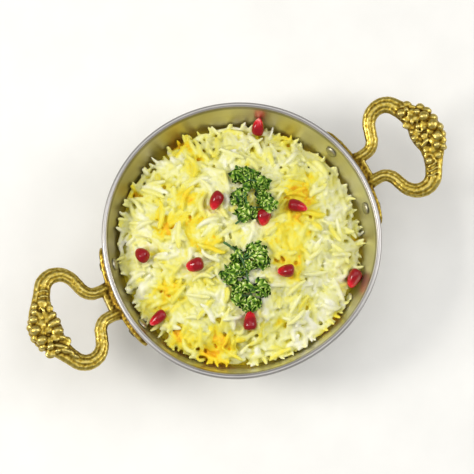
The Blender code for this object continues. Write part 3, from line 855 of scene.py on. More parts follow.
# ---------------------------------------------------------------- the rice
def rice_edge(angle):
    """Height at which the heap meets the wall in this direction."""
    slant = RICE_EDGE_SLANT * np.cos(angle - RICE_LOW_SIDE)
    ripple = 0.6 * MM * np.sin(5 * angle + 1.0) + 0.5 * MM * np.sin(9 * angle)
    return BOWL_HEIGHT - RICE_EDGE_DEPTH - slant + ripple


def rice_edge_radius(angle):
    return wall_reach(angle, rice_edge(angle), -SHEET - GAP)


def rice_top(x, y):
    """Height of the heap's surface above the table."""
    angle = np.arctan2(y, x)
    share = np.minimum(np.hypot(x, y) / rice_edge_radius(angle), 1.0)
    edge = rice_edge(angle)
    lumps = 0.0
    for height, spacing, heading, phase in RICE_LUMPS:
        along, aside = turned(x, y, heading)
        lumps = lumps + (height * np.sin(math.tau * (along / spacing) + phase)
                         * np.cos(math.tau * (aside / spacing)))
    return edge + (RICE_TOP - edge) * (1 - share ** RICE_DOME) + lumps * (1 - share ** 4)


BED_DEPTH = 3.4 * MM                # the loose grains lie on a packed bed this far down
BED_FALL = 3.5 * MM                 # and the bed is this much lower still at the wall
BED_SWELL = 1.0 * MM                # and swells up between the grains once they are on it


def bed_top(x, y):
    share = np.hypot(x, y) / rice_edge_radius(np.arctan2(y, x))
    return rice_top(x, y) - BED_DEPTH - BED_FALL * np.clip(share, 0, 1) ** 6


def make_bed():
    """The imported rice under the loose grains, out to the wall and down to the pan's base."""
    segments, rings = 120, 46
    angles = np.arange(segments) * math.tau / segments

    def ring(radius, z):
        return np.stack([radius * np.cos(angles), radius * np.sin(angles), z], axis=1)

    lines = []
    for k in range(1, rings + 1):
        reach = rice_edge_radius(angles) * (k / rings) ** 0.85
        top = bed_top(reach * np.cos(angles), reach * np.sin(angles)) + BED_SWELL
        lines.append(ring(reach, top))
    rim = lines[-1][:, 2].copy()
    lines[-1] = ring(wall_reach(angles, rim, -SHEET - GAP), rim)
    for k in range(1, 9):
        z = rim + (corner_top() - rim) * k / 8
        lines.append(ring(wall_reach(angles, z, -SHEET - GAP), z))
    for radius, z in base_profile(-SHEET - GAP, 1, 6)[:0:-1]:
        lines.append(ring(radius, np.full(segments, z)))
    shape = bmesh.new()
    add_rings(shape, [[tuple(point) for point in line] for line in lines])
    bed = join_shapes("rice_bed", [shape])
    points = vertex_array(bed.data)
    store(bed.data, "stain", "FLOAT", stain_at(points[:, 0], points[:, 1]))
    return bed


def grain_form(name, bends, taper):
    """One cooked grain along X, one unit long and thick: blunt ends, one finer than the other.

    bends are its sideways waves: (amount, half waves along it, phase) each.
    """
    sides, rings = 6, 8
    shape = bmesh.new()
    lines = []

    def sideways(t):
        return sum(amount * math.sin(math.pi * waves * t + phase)
                   for amount, waves, phase in bends)

    for i in range(rings):
        t = 0.025 + 0.95 * i / (rings - 1)
        swell = math.sin(math.pi * t) ** 0.26 * (1 + taper * (0.5 - t))
        swell *= 1 + 0.05 * math.sin(9 * t + 20 * taper)
        aside = sideways(t) - sideways(0.5) * 0.6
        lines.append([(t - 0.5, aside + 0.5 * swell * math.cos(math.tau * k / sides),
                       0.44 * swell * math.sin(math.tau * k / sides)) for k in range(sides)])
    add_rings(shape, lines)
    return join_shapes(name, [shape])


# Twelve grains, nearly straight, curved, hooked and slightly kinked: bends and taper of each.
GRAIN_KINDS = ((((0.10, 1, 0),), 0.10), (((0.28, 1, 0),), 0.30), (((-0.34, 1, 0.2),), 0.20),
               (((0.50, 1, 0),), 0.24), (((0.70, 1, 0.3),), 0.16), (((-0.60, 1, -0.3),), 0.36),
               (((0.22, 2, 0),), 0.22), (((0.36, 2, 0.5),), 0.12), (((0.90, 1, 0),), 0.28),
               (((0.20, 1, 0), (0.14, 3, 0)), 0.34), (((0.44, 1, 0), (-0.16, 2, 0)), 0.26),
               (((-0.20, 1, 0),), 0.05))
STRAIGHT_KINDS = (0, 1, 11)         # the ones for broken grains and flakes


SPRIG_GAP = (14.8, 15.5, 3)         # the opening in the upper sprig: x, y, radius in mm
# Where saffron water has run: x, y, radius in mm, and how deep the stain is.
STAINS = ((37, 6, 10, 0.80), (28, 2, 7, 0.50), (1, 49, 7, 0.42), (-12, 32, 6, 0.60),
          (-18, 20, 7, 0.55), (-33, 23, 4, 0.70), (-22, 10, 4, 0.80), (-38, -8, 8, 0.45),
          (-49, -28, 5, 0.85), (-37, -43, 10, 0.60), (-31, -40, 5, 0.60), (15, -24, 7, 0.65),
          (46, 35, 6, 0.40), (26, -58, 5, 0.70), (-48, -9, 7, 0.45), (-4, 60, 4, 0.70),
          (-35, 51, 3, 0.80), (15, -60, 3, 0.90), (19, -11, 10, 0.35), (-28, 28, 6, 0.40),
          (-16, 5, 5, 0.50), (14, -42, 4, 0.60), (-14, -44, 5, 0.30), (24, -38, 11, -0.15),
          (13, -52, 11, -0.22), (*SPRIG_GAP, 0.50), (58, -2, 10, -0.10), (8, 0, 6, -0.12))


def stain_at(x, y):
    """How yellow the rice is here, from 0 to 1, before each grain's own chance is added."""
    soft = 0.5 + 0.5 * np.sin(x / (7.1 * MM) + 1.3) * np.sin(y / (8.3 * MM) + 0.4)
    fine = 0.5 + 0.5 * np.sin((x + y) / (3.9 * MM)) * np.sin((x - 0.6 * y) / (4.7 * MM) + 2.0)
    depth = 0.16 + 0.14 * soft + 0.12 * fine
    for centre_x, centre_y, radius, strength in STAINS:
        away = np.hypot(x - centre_x * MM, y - centre_y * MM) / (radius * MM)
        depth = depth + strength * np.exp(-away ** 2)
    return depth


def past_wall(x, y, z, room):
    """How far the worst of these points is beyond the wall, less this much room."""
    return np.max(np.hypot(x, y) - (wall_reach(np.arctan2(y, x), z, -SHEET) - room))


# Lengths and widths in mm. A grain has a usual size, its spread, and its least and greatest.
GRAIN_LENGTH, GRAIN_WIDTH = (12.6, 1.5, 9.5, 15.5), (3.0, 0.25, 2.5, 3.5)
BROKEN_SHARE, BROKEN_LENGTH = 0.14, (4.5, 8.0)
# Overcooked grains mash together into broad flakes, which lie deeper.
FLAKE_SHARE, FLAKE_LENGTH, FLAKE_WIDTH = 0.02, (9.0, 13.0), (4.5, 6.5)
FLAKE_THICKNESS, FLAKE_SINK = 2.3 * MM, 0.7 * MM
TIPPED_SHARE, TIPPED_SLOPE = 0.06, (0.15, 0.45)
# Grains pressed between the others, and those that lean on the wall: least and greatest.
PRESSED_LENGTH, PRESSED_WIDTH, PRESSED_DEPTH = (9.0, 14.0), (2.1, 2.7), (0.9, 1.7)
LEANING_LENGTH, LEANING_WIDTH, LEANING_LIFT = (8.0, 13.5), (2.0, 2.5), (1.0, 5.0)
LEANING_PITCH = (0.55, 1.15)
# Clumps stand proud of the heap and hollows sink into it, by waves of this size and height.
RELIEF_WAVES, RELIEF_SIZE, RELIEF_HEIGHT = 26, (9.0, 18.0), 0.75 * MM
# Cooked rice clings in clumps whose grains lie alike, but for this spread and some strays. Near
# the wall, more of them point in and out.
CLUMPS, CLUMP_REACH, CLUMP_SPREAD, STRAY_SHARE = 190, 62 * MM, 0.38, 0.12
EDGE_REACH, EDGE_SHARE, EDGE_SPREAD = 50 * MM, 0.55, 0.45
CURL_SHADE = 2.6 * MM               # how far round a curl the rice is kept down


class Heap:
    """Lays grains one by one on the height of those below, inside the pan's wall."""

    CELL = 0.4 * MM
    HALF = 66.0 * MM

    def __init__(self, seed, ceilings):
        self.random = np.random.default_rng(seed)
        line = np.arange(-self.HALF, self.HALF, self.CELL)
        x, y = np.meshgrid(line, line, indexing="ij")
        relief = np.zeros_like(x)
        for _ in range(RELIEF_WAVES):
            heading = self.random.uniform(0.0, math.tau)
            wave = math.tau / (self.random.uniform(*RELIEF_SIZE) * MM)
            phase = self.random.uniform(0.0, math.tau)
            relief += np.sin(wave * turned(x, y, heading)[0] + phase)
        relief *= RELIEF_HEIGHT / math.sqrt(RELIEF_WAVES / 2)
        under_leaves = np.zeros(x.shape, bool)
        for name in SPRIGS:
            for spot_x, spot_y, _ in curl_spots(name):
                under_leaves |= np.hypot(x - spot_x * MM, y - spot_y * MM) < CURL_SHADE
        self.goal = rice_top(x, y) + np.where(under_leaves, -0.5 * MM, relief)
        # Rice shows through the upper sprig's gap.
        in_gap = np.hypot(x - SPRIG_GAP[0] * MM, y - SPRIG_GAP[1] * MM) < SPRIG_GAP[2] * MM
        self.goal[in_gap] += 0.8 * MM
        self.height = bed_top(x, y)
        self.inside = np.hypot(x, y) < rice_edge_radius(np.arctan2(y, x)) - 0.6 * MM
        self.ceiling = np.full_like(x, 1.0)
        for middle, reach, heading in ceilings:
            along, aside = turned(x - middle.x, y - middle.y, heading)
            inner = 1 - (along / reach[0]) ** 2 - (aside / reach[1]) ** 2
            under = middle.z - reach[2] * np.sqrt(np.maximum(inner, 0.0)) + 0.7 * MM
            self.ceiling = np.where(inner > 0.05, np.minimum(self.ceiling, under), self.ceiling)
        self.ceiling[under_leaves] = np.minimum(self.ceiling, self.goal + 1.6 * MM)[under_leaves]
        self.covered = np.zeros(x.shape, bool)
        self.grains = []
        self.clumps = self.random.uniform(-CLUMP_REACH, CLUMP_REACH, (CLUMPS, 2))
        self.clump_headings = self.random.uniform(0.0, math.pi, CLUMPS)

    def keep(self, x, y, z, turn, slope, length, width, thick):
        self.stamp(x, y, z, turn, slope, length, width, thick)
        self.grains.append((x, y, z, turn, math.atan(slope), length, width, thick))

    def cell(self, x, y):
        i = np.clip(((x + self.HALF) / self.CELL + 0.5).astype(int), 0, len(self.goal) - 1)
        j = np.clip(((y + self.HALF) / self.CELL + 0.5).astype(int), 0, len(self.goal) - 1)
        return i, j

    def heading(self, x, y):
        nearest = np.argmin(np.hypot(self.clumps[:, 0] - x, self.clumps[:, 1] - y))
        turn = self.clump_headings[nearest] + self.random.normal(0.0, CLUMP_SPREAD)
        if self.random.random() < STRAY_SHARE:
            turn = self.random.uniform(0.0, math.pi)
        if math.hypot(x, y) > EDGE_REACH and self.random.random() < EDGE_SHARE:
            turn = math.atan2(y, x) + self.random.normal(0.0, EDGE_SPREAD)
        return turn

    def rest(self, x, y, turn, length, width, thick, bearing, sink):
        """Middle height and slope at which the grain lies on what is under it.

        Cooked grains are soft: this one settles until bearing of its length is over the others,
        and presses into the highest of them by at most sink of its width.
        """
        steps = np.linspace(-0.46, 0.46, 13) * length
        along_x = x + steps * math.cos(turn)
        along_y = y + steps * math.sin(turn)
        need = np.full(13, -1.0)
        for aside in (-0.28, 0.0, 0.28):
            i, j = self.cell(along_x - aside * width * math.sin(turn),
                             along_y + aside * width * math.cos(turn))
            need = np.maximum(need, self.height[i, j] - (0.10 * thick if aside else 0.0))
        need = need + 0.34 * thick
        slope = float(np.clip(np.sum(steps * need) / np.sum(steps * steps), -0.6, 0.6))
        over = need - steps * slope
        middle = max(float(np.quantile(over, bearing)), float(np.max(over)) - sink * thick)
        return middle, slope, steps

    def try_grain(self, x, y, bearing, sink, above):
        chance = self.random
        broken = chance.random() < BROKEN_SHARE
        length = (chance.uniform(*BROKEN_LENGTH) if broken else
                  float(np.clip(chance.normal(*GRAIN_LENGTH[:2]), *GRAIN_LENGTH[2:]))) * MM
        width = float(np.clip(chance.normal(*GRAIN_WIDTH[:2]), *GRAIN_WIDTH[2:])) * MM
        thick = width
        if above > 0 and chance.random() < FLAKE_SHARE:
            length, width = chance.uniform(*FLAKE_LENGTH) * MM, chance.uniform(*FLAKE_WIDTH) * MM
            thick, sink = FLAKE_THICKNESS, sink + FLAKE_SINK
        turn = self.heading(x, y)
        for _ in range(4):
            z, slope, steps = self.rest(x, y, turn, length, width, thick, bearing, sink)
            px, py = x + steps * math.cos(turn), y + steps * math.sin(turn)
            pz = z + steps * slope
            around = np.arctan2(py, px)
            excess = np.hypot(px, py) - (wall_reach(around, pz, -SHEET) - 0.55 * width)
            worst = int(np.argmax(excess))
            if excess[worst] <= 0:
                break
            x -= math.cos(around[worst]) * (excess[worst] + 0.1 * MM)
            y -= math.sin(around[worst]) * (excess[worst] + 0.1 * MM)
        else:
            return False
        i, j = self.cell(np.array([x]), np.array([y]))
        if z > self.goal[i[0], j[0]] + above:
            return False
        if chance.random() < TIPPED_SHARE and not broken:
            tip = chance.uniform(*TIPPED_SLOPE) * (1 if chance.random() < 0.5 else -1)
            slope += tip
            z += abs(tip) * 0.38 * length
            pz = z + steps * slope
        i, j = self.cell(px, py)
        if np.any(pz + 0.4 * thick > self.ceiling[i, j]):
            return False
        self.keep(x, y, z, turn, slope, length, width, thick)
        return True

    def stamp(self, x, y, z, turn, slope, length, width, thick):
        along = np.arange(-0.47, 0.4701, self.CELL / length * 0.8) * length
        aside = np.linspace(-0.45, 0.45, 7) * width
        s, c = np.meshgrid(along, aside, indexing="ij")
        top = z + s * slope + np.sqrt((0.5 * width) ** 2 - c ** 2) * 0.88 * thick / width
        i, j = self.cell(x + s * math.cos(turn) - c * math.sin(turn),
                         y + s * math.sin(turn) + c * math.cos(turn))
        np.maximum.at(self.height, (i, j), top)
        self.covered[i, j] = True

    def fill(self, tries, bearing, sink, above):
        """Adds grains, their middles up to above over the goal, wherever it isn't reached."""
        wanted = np.empty((0, 2), int)
        for k in range(tries):
            if k % 60 == 0:
                wanted = np.argwhere(self.inside & (self.height < self.goal + above - 0.6 * MM))
                if len(wanted) < 40:
                    break
            i, j = wanted[self.random.integers(len(wanted))]
            spread = self.random.normal(0.0, 0.8 * MM, 2)
            self.try_grain(i * self.CELL - self.HALF + spread[0],
                           j * self.CELL - self.HALF + spread[1], bearing, sink, above)

    def cover(self, tries):
        """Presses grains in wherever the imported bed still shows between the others."""
        chance = self.random
        for k in range(tries):
            if k % 40 == 0:
                bare = np.argwhere(self.inside & ~self.covered)
                if len(bare) < 30:
                    break
            i, j = bare[chance.integers(len(bare))]
            x, y = i * self.CELL - self.HALF, j * self.CELL - self.HALF
            turn = self.heading(x, y)
            length = chance.uniform(*PRESSED_LENGTH) * MM
            width = chance.uniform(*PRESSED_WIDTH) * MM
            steps = np.linspace(-0.46, 0.46, 9) * length
            px, py = x + steps * math.cos(turn), y + steps * math.sin(turn)
            ends_i, ends_j = self.cell(px, py)
            below = self.goal[ends_i, ends_j] - chance.uniform(*PRESSED_DEPTH) * MM
            slope = float(np.clip(np.sum(steps * below) / np.sum(steps * steps), -0.5, 0.5))
            z = float(np.mean(below))
            pz = z + steps * slope
            if past_wall(px, py, pz, 0.5 * width) > 0:
                continue
            if np.any(pz + 0.4 * width > self.ceiling[ends_i, ends_j]):
                continue
            self.keep(x, y, z, turn, slope, length, width, width)

    def lean_on_wall(self, count):
        """A few grains stand at the heap's edge with their outer ends up against the wall."""
        chance = self.random
        for _ in range(count):
            angle = chance.uniform(0.0, math.tau)
            length = chance.uniform(*LEANING_LENGTH) * MM
            width = chance.uniform(*LEANING_WIDTH) * MM
            pitch = chance.uniform(*LEANING_PITCH)
            turn = angle + chance.normal(0.0, EDGE_SPREAD)
            tip_z = float(rice_edge(angle)) + chance.uniform(*LEANING_LIFT) * MM
            tip_r = float(wall_reach(angle, tip_z, -SHEET)) - 0.5 * width
            x = tip_r * math.cos(angle) - math.cos(turn) * math.cos(pitch) * length * 0.48
            y = tip_r * math.sin(angle) - math.sin(turn) * math.cos(pitch) * length * 0.48
            z = tip_z - math.sin(pitch) * length * 0.48
            steps = np.linspace(-0.48, 0.48, 9) * length
            px = x + steps * math.cos(turn) * math.cos(pitch)
            py = y + steps * math.sin(turn) * math.cos(pitch)
            pz = z + steps * math.sin(pitch)
            i, j = self.cell(px, py)
            if (past_wall(px, py, pz, 0.5 * width) > 0.05 * MM
                    or np.any(pz > self.ceiling[i, j])):
                continue
            self.grains.append((x, y, z, turn, pitch, length, width, width))


CLING_VOXEL = 0.5 * MM              # the fineness of the fused surface
RICE_TRIANGLES = 190000             # what is left of it after thinning
HOLLOW_SHADE_STAIN = 0.46                # painted shade: how much deeper the yellow is at the bottom of a hollow
HOLLOW_SHADE_DEPTH = 3.0 * MM


def cling(parts, heap, finish):
    """Fuses grains and bed where they touch, as starch does, keeps each grain's stain, and paints
    shade into the hollows as deeper yellow.
    """
    points = np.concatenate([vertex_array(part.data) for part in parts])
    stains = np.concatenate([attribute_array(part.data, "stain") for part in parts])
    tree = KDTree(len(points))
    for index, point in enumerate(points):
        tree.insert(point, index)
    tree.balance()
    joined = bmesh.new()
    for part in parts:
        joined.from_mesh(part.data)
        bpy.data.objects.remove(part)
    fused = join_shapes("steamed_rice", [joined])
    fused = grown_together(fused, CLING_VOXEL)
    mesh = fused.data
    move_vertices(mesh, neighbour_mean(vertex_array(mesh), edge_array(mesh), 2))
    thin = fused.modifiers.new("thin", "DECIMATE")
    thin.ratio = min(1.0, RICE_TRIANGLES / (2 * len(mesh.polygons)))
    fused = made_plain(fused)
    mesh = fused.data
    points = vertex_array(mesh)
    own = np.array([stains[tree.find(point)[1]] for point in points])
    own = neighbour_mean(np.repeat(own[:, None], 3, axis=1), edge_array(mesh), 2)[:, 0]
    # Painted shade: the lower a point lies below the heap's top, the deeper its yellow, so the
    # hollows are the deepest yellow.
    i, j = heap.cell(points[:, 0], points[:, 1])
    below = (heap.goal[i, j] - points[:, 2]) / HOLLOW_SHADE_DEPTH
    own += HOLLOW_SHADE_STAIN * np.clip(below - 0.15, 0.0, 1.0)
    store(mesh, "stain", "FLOAT", own)
    set_finish(mesh, finish)
    return fused


def make_rice(heap, bed, tree, shapes, finish):
    """Every grain with its own saffron stain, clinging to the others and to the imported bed."""
    rows = np.array(heap.grains)
    chance = np.random.default_rng(5)
    stain = stain_at(rows[:, 0], rows[:, 1]) + chance.normal(0.0, 0.13, len(rows))
    flakes = rows[:, 6] > 4 * MM
    stain = np.clip(stain - 0.12 * flakes, 0.0, 0.92)
    rolls = np.where(flakes, 0.0, chance.uniform(0.0, math.tau, len(rows)))
    turns = []
    for (_, _, _, turn, pitch, *_), roll in zip(rows, rolls):
        lay = Matrix.Rotation(turn, 3, "Z") @ Matrix.Rotation(-pitch, 3, "Y")
        turns.append(tuple((lay @ Matrix.Rotation(roll, 3, "X")).to_euler()))
    kinds = chance.integers(0, len(GRAIN_KINDS), len(rows))
    short = flakes | (rows[:, 5] < 9 * MM)
    kinds[short] = chance.choice(STRAIGHT_KINDS, int(short.sum()))
    sizes = rows[:, 5:8]
    grains = scatter("steamed_grains", tree, shapes, finish, rows[:, :3], np.array(turns), sizes,
                     kinds, {"stain": stain}, 0.03)
    finish_piece(cling((grains, bed), heap, finish), "rice", "rice")


# ---------------------------------------------------------------- the arils
def aril_facets(chance):
    """The flats an aril gets from its neighbours in the fruit: directions and distances."""
    facets = []
    count = int(chance.integers(5, 7))
    start = chance.uniform(0, math.tau)
    for k in range(count):
        turn = start + math.tau * (k + chance.uniform(-0.18, 0.18)) / count
        lean = chance.uniform(-0.10, 0.22)
        facets.append(((math.cos(turn), math.sin(turn), lean), chance.uniform(0.95, 1.04)))
    facets.append(((chance.uniform(-0.3, 0.3), chance.uniform(-0.3, 0.3), -1.0), 0.92))
    facets.append(((chance.uniform(-0.5, 0.5), chance.uniform(-0.5, 0.5), 1.0), 0.98))
    return [(Vector(way).normalized(), distance) for way, distance in facets]


def aril_shape(length, width, facets):
    """A drop with rounded flats: blunt at one end, drawn to a pale tip at the other."""
    shape = bmesh.new()
    bmesh.ops.create_icosphere(shape, subdivisions=5, radius=1.0)
    tips = []
    power = 3.8
    for vert in shape.verts:
        way = vert.co.normalized()
        total = sum((max(way.dot(facing), 0.0) / distance) ** power
                    for facing, distance in facets)
        total += 0.6
        point = way * total ** (-1 / power)
        along = max(min(point.z, 1.0), -1.0)
        waist = 1.0 - 0.20 * along - 0.08 * along * along
        tips.append(along)
        vert.co = Vector((point.x * waist, point.y * waist, point.z))
    for axis, goal in enumerate((width, width, length)):
        low = min(vert.co[axis] for vert in shape.verts)
        high = max(vert.co[axis] for vert in shape.verts)
        for vert in shape.verts:
            vert.co[axis] = ((vert.co[axis] - low) / (high - low) - 0.5) * goal * MM
    return shape, tips


def make_arils(finish):
    chance = np.random.default_rng(11)
    shapes, marks = [], []
    for index, (heading, lean, length, width) in enumerate(ARILS):
        shape, tips = aril_shape(length, width, aril_facets(chance))
        turn = Matrix.Rotation(math.radians(heading), 4, "Z")
        lay = turn @ Matrix.Rotation(math.radians(90 + lean), 4, "Y")
        bmesh.ops.transform(shape, verts=shape.verts, matrix=lay)
        own = np.array([vert.co for vert in shape.verts])
        middle = Vector((own.min(0) + own.max(0)) / 2)
        bmesh.ops.translate(shape, verts=shape.verts, vec=aril_middle(index) - middle)
        shapes.append(shape)
        marks += tips
    arils = join_shapes("pomegranate_arils", shapes)
    set_finish(arils.data, finish)
    arils.data.shade_smooth()
    store(arils.data, "tip", "FLOAT", marks)
    finish_piece(arils, "aril", *(f"aril_{k + 1:02d}" for k in range(len(ARILS))))


def aril_middle(index):
    """Middle of the aril's place; the one under the parsley is pressed into the rice."""
    low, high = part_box(f"aril_{index + 1:02d}")
    return (low + high) / 2 - Vector((0.0, 0.0, 2.7 * MM if index == 2 else 0.0))


def aril_ceilings():
    """Middles, half sizes and headings of the arils, which the grains stay under."""
    places = []
    for index, (heading, lean, length, width) in enumerate(ARILS):
        low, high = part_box(f"aril_{index + 1:02d}")
        reach = (length / 2 * MM * math.cos(math.radians(lean)) + 0.3 * MM, width / 2 * MM,
                 (high.z - low.z) / 2)
        places.append((aril_middle(index), reach, math.radians(heading)))
    return places


# ---------------------------------------------------------------- the parsley
# Each sprig: its leaf lobes (x, y, radius) and the line of its stem, all in mm.
SPRIGS = {
    "upper": (((19.5, 32.0, 2.0), (14.5, 29.5, 5.0), (19.5, 27.5, 4.5), (22.0, 20.5, 5.0),
               (14.5, 20.0, 5.0), (9.0, 19.5, 5.0), (20.5, 16.0, 3.8), (19.0, 11.5, 5.0),
               (20.0, 8.0, 4.5), (9.5, 10.5, 5.0), (7.5, 10.5, 5.0)),
              ((17.3, 25.4), (13.2, 21.5), (11.2, 15.2), (9.6, 10.6), (5.4, 8.6), (1.0, 7.7))),
    "lower": (((-5.5, -6.5, 4.0), (3.0, -8.0, 5.0), (5.0, -10.0, 5.0), (-10.5, -12.5, 5.0),
               (-13.5, -14.5, 5.0), (3.5, -15.0, 5.0), (-3.5, -15.0, 5.0), (-10.0, -22.0, 5.0),
               (-15.0, -25.0, 4.5), (-2.5, -27.0, 5.0), (-11.5, -31.0, 5.0), (-9.5, -32.0, 5.0)),
              ((-8.5, 2.4), (-6.1, -2.0), (-4.4, -9.0), (-5.6, -16.0), (-7.2, -23.0),
               (-9.2, -29.6))),
}


LEAF_TOP = 50.6 * MM
CURL_SPACING = 2.3                  # mm from one curl to the next
CURL_INSET = 1.3                    # mm from a sprig's outline to its outermost curls
GAP_INSET = 2.1                     # mm from a gap's middle line to the nearest curls
CURL_NEIGHBOURS = 7.0               # mm: a curl faces away from the middle of those this near
CURL_KINDS = ((3, 0.0, 0.2), (3, 1.0, 0.0), (2, 2.2, -0.2), (3, 3.0, 0.3), (4, 4.2, 0.1),
              (2, 5.3, -0.1))       # folds, phase, lean
# The curls on one spot, lower first: radius and height in mm, tilt, and how light a green,
# which is painted shade: the lower curls are darker than those above them.
EDGE_LAYERS = ((1.9, 0.6, 0.15, 0.0), (1.9, 1.7, 0.65, 1.0))
INSIDE_LAYERS = ((2.7, 1.2, 0.2, 0.3), (2.4, 3.0, 0.4, 1.0))
INSIDE_DEPTH = 3.0                  # mm from the outline
# One lobe of the upper sprig stands up and hangs over an aril, where it has no lower curls.
LIFTED_LAYERS = ((1.9, 3.2, 0.2, 0.2), (2.0, 5.7, 0.3, 1.0))
LIFTED_LOBE = (18.8, 6.8, 5.375)    # x, y, radius in mm
OVER_ARIL = (16.0, 4.6, 4.6)
# Gaps through the sprigs, from one end to the other: x, y, x, y in mm.
LEAF_GAPS = ((13.6, 13.2, 16.2, 18.2), (-3.0, -18.8, 4.5, -22.8))


def gap_clearance(x, y):
    """How far a point is from the nearest gap's middle line, in mm."""
    away = []
    for gap in LEAF_GAPS:
        start, along = np.array(gap[:2]), np.array(gap[2:]) - gap[:2]
        share = np.clip((np.array((x, y)) - start) @ along / (along @ along), 0.0, 1.0)
        away.append(float(np.hypot(*(start + along * share - (x, y)))))
    return min(away)


def curl_spots(name):
    """Where a sprig's curls sit, and how far inside its outline each one is, in mm."""
    lobes = SPRIGS[name][0]
    lines = CURL_SPACING * math.sqrt(3) / 2
    spots = []
    for row in range(int(-40 / lines), int(40 / lines)):
        for column in range(int(-30 / CURL_SPACING), int(30 / CURL_SPACING)):
            x, y = (column + row % 2 / 2) * CURL_SPACING, row * lines
            inside = max(radius - math.hypot(x - lobe_x, y - lobe_y)
                         for lobe_x, lobe_y, radius in lobes)
            if inside > CURL_INSET and gap_clearance(x, y) > GAP_INSET:
                spots.append((x, y, inside))
    return spots


def curl_form(name, folds, phase, lean):
    """A ruffled rosette one unit in radius: the edge of curly parsley, gathered by its growth."""
    around, rings = 16, 2
    points = [(0.0, 0.0, -0.12)]
    edge = [0.15]
    for j in range(1, rings + 1):
        r = j / rings
        gather = r ** 1.3
        for i in range(around):
            turn = math.tau * i / around
            wave = folds * turn + phase + 0.9 * math.sin(2 * turn + phase)
            reach = r * (1 + 0.24 * gather * math.cos(wave + 1.3))
            swing = turn + 0.75 * gather / folds * math.sin(2 * wave)
            lift = 0.46 * gather * math.sin(wave) - 0.12 * (1 - r)
            lift += lean * r * math.cos(turn - phase)
            points.append((reach * math.cos(swing), reach * math.sin(swing), lift))
            # edge: paler towards the rim, the thin edge's own colour, and lighter on the rising
            # folds and darker in the sinking ones, as painted highlight and painted shade.
            edge.append(min(max(0.12 + 0.42 * r + 0.46 * gather * math.sin(wave), 0.0), 1.0))
    faces = [(0, 1 + i, 1 + (i + 1) % around) for i in range(around)]
    for j in range(rings - 1):
        for i in range(around):
            low, high = 1 + j * around, 1 + (j + 1) * around
            faces.append((low + i, high + i, high + (i + 1) % around, low + (i + 1) % around))
    curl = object_from_points(name, points, faces)
    store(curl.data, "edge", "FLOAT", edge)
    blade = curl.modifiers.new("blade", "SOLIDIFY")
    blade.thickness = 0.08
    blade.offset = 0.0
    return made_plain(curl)


def make_leaves(name, tree, shapes, finish, chance):
    """Curls over each sprig: low and outward-facing round its outline, piled up inside it."""
    spots = np.array(curl_spots(name))
    points, turns, sizes, kinds, layer_shades_and_tones = [], [], [], [], []
    for x, y, depth in spots:
        near = spots[np.hypot(spots[:, 0] - x, spots[:, 1] - y) < CURL_NEIGHBOURS]
        inwards = near[:, :2].mean(0) - (x, y)
        facing = math.atan2(-inwards[1], -inwards[0])
        ground = float(rice_top(x * MM, y * MM))
        # The sprigs stay open at these gaps, where smaller curls ring them.
        small = min(max((gap_clearance(x, y) - 1.4) / 2.6, 0.45), 1.0)
        layers = INSIDE_LAYERS if depth > INSIDE_DEPTH else EDGE_LAYERS
        if name == "upper" and in_circle(x, y, LIFTED_LOBE):
            layers = LIFTED_LAYERS[1:] if in_circle(x, y, OVER_ARIL) else LIFTED_LAYERS
        for radius, height, tilt, light in layers:
            lean = tilt + chance.normal(0.0, 0.30)
            lay = Matrix.Rotation(facing, 3, "Z") @ Matrix.Rotation(lean, 3, "Y")
            lay = lay @ Matrix.Rotation(chance.uniform(0, math.tau), 3, "Z")
            size = radius * small * chance.uniform(0.88, 1.12) * MM
            narrow = chance.uniform(0.72, 1.0)
            points.append((x * MM + chance.normal(0.0, 0.35 * MM),
                           y * MM + chance.normal(0.0, 0.35 * MM),
                           ground + (height + chance.uniform(-0.2, 0.8)) * MM))
            turns.append(tuple(lay.to_euler()))
            sizes.append((size * narrow, size, size * 1.2))
            kinds.append(int(chance.integers(0, len(CURL_KINDS))))
            # Painted shade: lower curls get a darker green than upper ones; the random share is
            # the leaves' own tone.
            layer_shades_and_tones.append(light * chance.uniform(0.4, 1))
            facing += 2.0
    leaves = scatter(f"parsley_leaves_{name}", tree, shapes, finish, points, turns, sizes, kinds,
                     {"layer_shade_and_tone": layer_shades_and_tones})
    low = vertex_array(leaves.data)
    low[:, 2] = np.maximum(low[:, 2], rice_top(low[:, 0], low[:, 1]) + 0.1 * MM)
    low[:, 2] = np.minimum(low[:, 2], LEAF_TOP)
    move_vertices(leaves.data, low)
    finish_piece(leaves, "parsley", f"parsley_{name}")


def make_stems(name, lobes, stem, tree, finish):
    """The sprig's stem and a stalk to each lobe, tapering towards the leaves."""
    points, edges, thick = [], [], []

    def draw(line, start, end, rise):
        first = len(points)
        for k, (x, y) in enumerate(line):
            share = k / (len(line) - 1)
            height = float(rice_top(x, y)) + 1.5 * MM + rise * math.sin(math.pi * share) * MM
            points.append((x, y, height))
            thick.append((start + (end - start) * share) * MM)
            if k:
                edges.append((first + k - 1, first + k))

    path = smooth_path([(x * MM, y * MM) for x, y in stem], 6)
    draw(path, 1.3, 1.0, 0.9)
    for x, y, _ in lobes:
        start = np.array([x * MM, y * MM])
        joint = path[np.argmin(np.linalg.norm(path - start, axis=1))]
        clear = gap_clearance(*((start + joint) / 2 / MM)) > 1.8
        if clear and np.linalg.norm(start - joint) > 1.5 * MM:
            draw([joint + (start - joint) * k / 6 for k in range(7)], 1.0, 0.8, 0.9)
    stems = object_from_points(f"parsley_stems_{name}", points, (), edges)
    store(stems.data, "thickness", "FLOAT", thick)
    use_tree(stems, tree, {"Sides": 10, "Thickness": 1.0, "Finish": finish})
    finish_piece(made_plain(stems), "parsley", f"parsley_{name}")


# ---------------------------------------------------------------- finishes
TOOL_MARKS = 0.5 * MM               # from one ring of the spinning tool to the next
RING_RUN = 1.5 * MM                 # what the tool marks' pattern moves on by in one radian
DULLED_TIN = 14 * MM                # the width of a cloud of dulled tin
# Painted light: the direction in which the inner wall is painted lightest.
LIT_SIDE = math.radians(-48.0)


